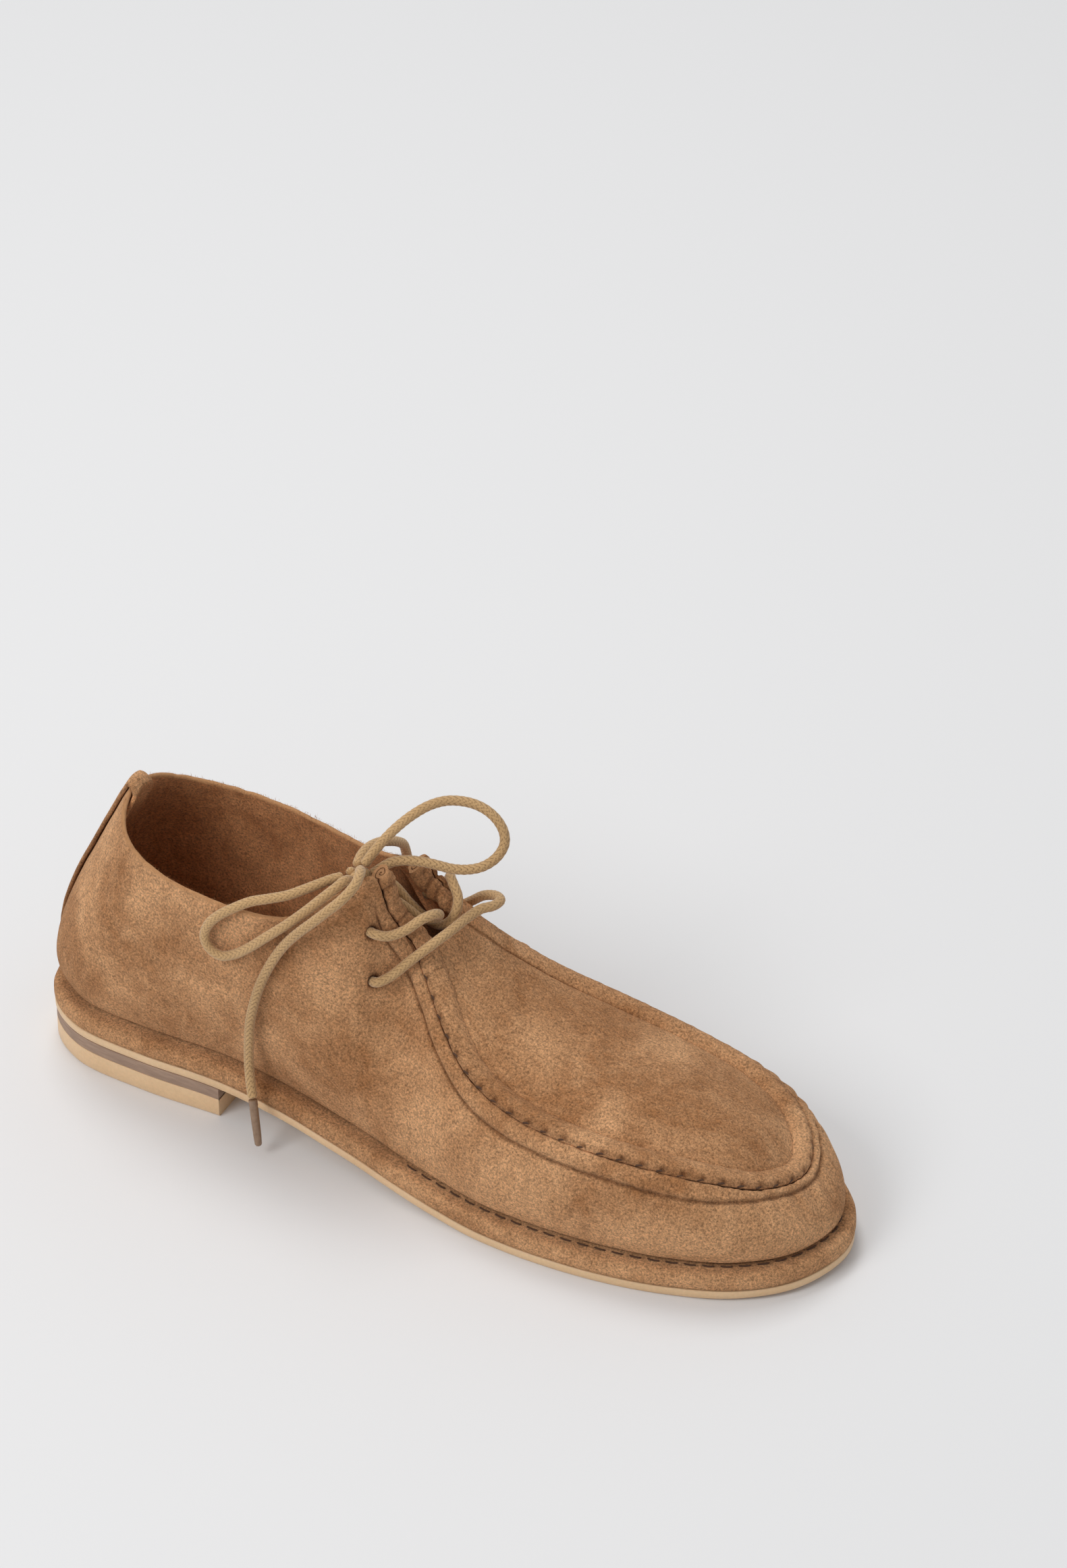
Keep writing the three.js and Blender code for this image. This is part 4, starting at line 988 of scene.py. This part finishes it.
welt_run = run_along(edge_points(ROUND, LEDGE - 2.0, platform_top))
welt_from, welt_to = np.interp([RIB_START, TURN - RIB_START], ROUND, welt_run)
spans = []
for start in np.arange(welt_from, welt_to - WELT_PITCH, WELT_PITCH):
    ends = []
    for along, inset in ((0.5, LEDGE - 0.7), (WELT_PITCH - 1.3, LEDGE - 0.9)):
        place = np.interp(start + along, welt_run, ROUND)
        ends.append(edge_points(np.array(place), np.array(inset), lambda x: platform_top(x) + 0.25))
    _, out = plan(edge_curve, np.array(np.interp(start + 2, welt_run, ROUND)))
    spans.append((ends[0], ends[1], out * 0.5 + np.array([0, 0, 0.15])))
welt_stitches = stitches("welt_stitches", spans, 0.6, dark_thread, steps=11)
placed(welt_stitches, "shoe", "welt_thread")

spans = []
for low in np.arange(0.1, 0.80, 0.052):
    ends = []
    for v in (low, low + 0.036):
        at = np.array(seam(v) - 0.25)
        ends.append(on_wall(at, np.array(v), relief(at[None, None], np.array([[v]]))[0][0, 0] + 1.0))
    rise = wall_normals(np.array(seam(low) - 0.25), np.array(low)) * 0.25
    spans.append((ends[0], ends[1], rise))
seam_stitches = stitches("medial_seam_stitches", spans, 0.8, light_thread)
placed(seam_stitches, "shoe", "medial_seam_thread")

# Lace held by the shoe: the bar over the lower eyelets, the two strands up to the knot, and the
# knot, a turn of the cord drawn tight.
LACE_THROUGH = 3.8          # how far inside the upper a stretch starts
KNOT_SCALE = 1.08


def through_eyelet(way, eyelet, onward):
    """The first two points of a stretch: inside the upper, and just out of the eyelet."""
    station, v = eyelet
    station = station if way > 0 else TURN - station
    at, out = wall_points(np.array(station), np.array(v)), wall_normals(np.array(station), np.array(v))
    lean = np.array(onward, float) - at
    lean /= np.linalg.norm(lean)
    return [at - out * LACE_THROUGH - lean * 1.2, at + out * LACE * 0.35 + lean * 0.6]


upper, lower = EYELET_SITES
bar_places = [
    (139.3, -22.8, 77.8), (144.2, -17.8, 82.8), (149.2, -12.4, 87.4), (152.2, -4, 88.8),
    (154.2, 3.2, 89.6), (156.6, 8.8, 90.4), (159.4, 12.6, 90.2), (159.8, 16.6, 89.8),
    (156.6, 19.4, 88.6), (151.4, 21.2, 85.6), (146.4, 23, 80.6)]
bar_route = [*through_eyelet(1, lower, bar_places[0]), *bar_places,
             *through_eyelet(-1, lower, bar_places[-1])[::-1]]
lateral_places = [
    (136.8, -19.8, 91.8), (140.8, -15.3, 92.6), (144, -9.8, 94.4), (146, -5, 94), (146, -1, 91),
    (143, 0.8, 87), (139, -0.6, 86.4), (134.6, -2, 90), (130.6, -4.4, 94), (126.6, -8.4, 96), (124.2, -11, 98.6)]
strand_lateral_route = [*through_eyelet(1, upper, lateral_places[0]), *lateral_places,
                        at_knot(0.35, 0.1, -0.93)]
medial_places = [
    (138, 19.8, 88.2), (141, 16.4, 93), (143, 12.5, 96.6), (145.6, 9.8, 96.4), (148.6, 7.4, 93.4),
    (149.4, 4.4, 89.6), (147.6, 2.6, 85.8), (143, 3.6, 82.4), (138, 3.4, 84), (133, 2.2, 89),
    (127, 0.8, 96), (121.8, -4.4, 99.6)]
strand_medial_route = [*through_eyelet(-1, upper, medial_places[0]), *medial_places,
                       at_knot(0.05, 0.78, -0.62)]
for name, route in (("lace_bar_lower", bar_route), ("lace_strand_lateral", strand_lateral_route),
                    ("lace_strand_medial", strand_medial_route)):
    stretch, _, _ = braided(f"{name}_braid", route)
    placed(stretch, "shoe", name)

t = np.linspace(0, 2 * np.pi, 25)[:-1]
trefoil = np.stack([np.sin(t) + 2 * np.sin(2 * t), np.cos(t) - 2 * np.cos(2 * t), -1.1 * np.sin(3 * t)],
                   axis=1)
knot, _, _ = braided("lace_knot_braid", KNOT_PLACE + trefoil[:23] * KNOT_SCALE)
placed(knot, "shoe", "lace_knot")

# Hidden pieces keep their machined shapes and get their own finishes: steel, cork and board.
steel = two_toned("heel_steel", (0.36, 0.36, 0.38), (0.6, 0.6, 0.62), 0.00003, "Noise",
                  {"Scale": 800, "Detail": 3}, Metallic=1.0, Roughness=0.35)
cork = two_toned("cork_granules", (0.42, 0.26, 0.13), (0.16, 0.08, 0.035), 0.0002, "Voronoi",
                 {"Scale": 420}, Roughness=0.9)
finishes = {"shank": steel, "cork_filler": cork, "insole_board": leatherboard, "platform_core": leatherboard,
            "toe_puff": leatherboard, **{f"heel_nail_{number}": steel for number in range(1, 6)}}
for cad_node, finish in finishes.items():
    for material_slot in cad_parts[cad_node].material_slots:
        material_slot.material = finish

# Studio: a pale floor, a large soft light overhead and behind, and a weaker one from the front.
bpy.ops.mesh.primitive_plane_add(size=12, location=(0, 0, 0))
floor = bpy.context.object
floor.name = "studio_floor"
floor_paint, tree, shader = new_material("floor_paint", Roughness=0.9)
shader.inputs["Base Color"].default_value = (0.80, 0.797, 0.795, 1)
floor.data.materials.append(floor_paint)
floor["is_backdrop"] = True

world = bpy.data.worlds.new("studio")
world.use_nodes = True
world.node_tree.nodes["Background"].inputs["Color"].default_value = (0.97, 0.98, 1.0, 1)
world.node_tree.nodes["Background"].inputs["Strength"].default_value = 0.52
bpy.context.scene.world = world
for name, place, size, power in (("overhead", (-0.5, 0.5, 1.9), 0.8, 13),
                                 ("front", (-0.8, -1.7, 1.7), 1.1, 22)):
    light_data = bpy.data.lights.new(name, "AREA")
    light_data.size = size
    light_data.energy = power
    light = bpy.data.objects.new(name, light_data)
    light.location = place
    light.rotation_euler = (Vector((0, 0, 0.03)) - Vector(place)).to_track_quat("-Z", "Y").to_euler()
    bpy.context.scene.collection.objects.link(light)
bpy.context.scene.view_settings.view_transform = "Standard"

low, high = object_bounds()
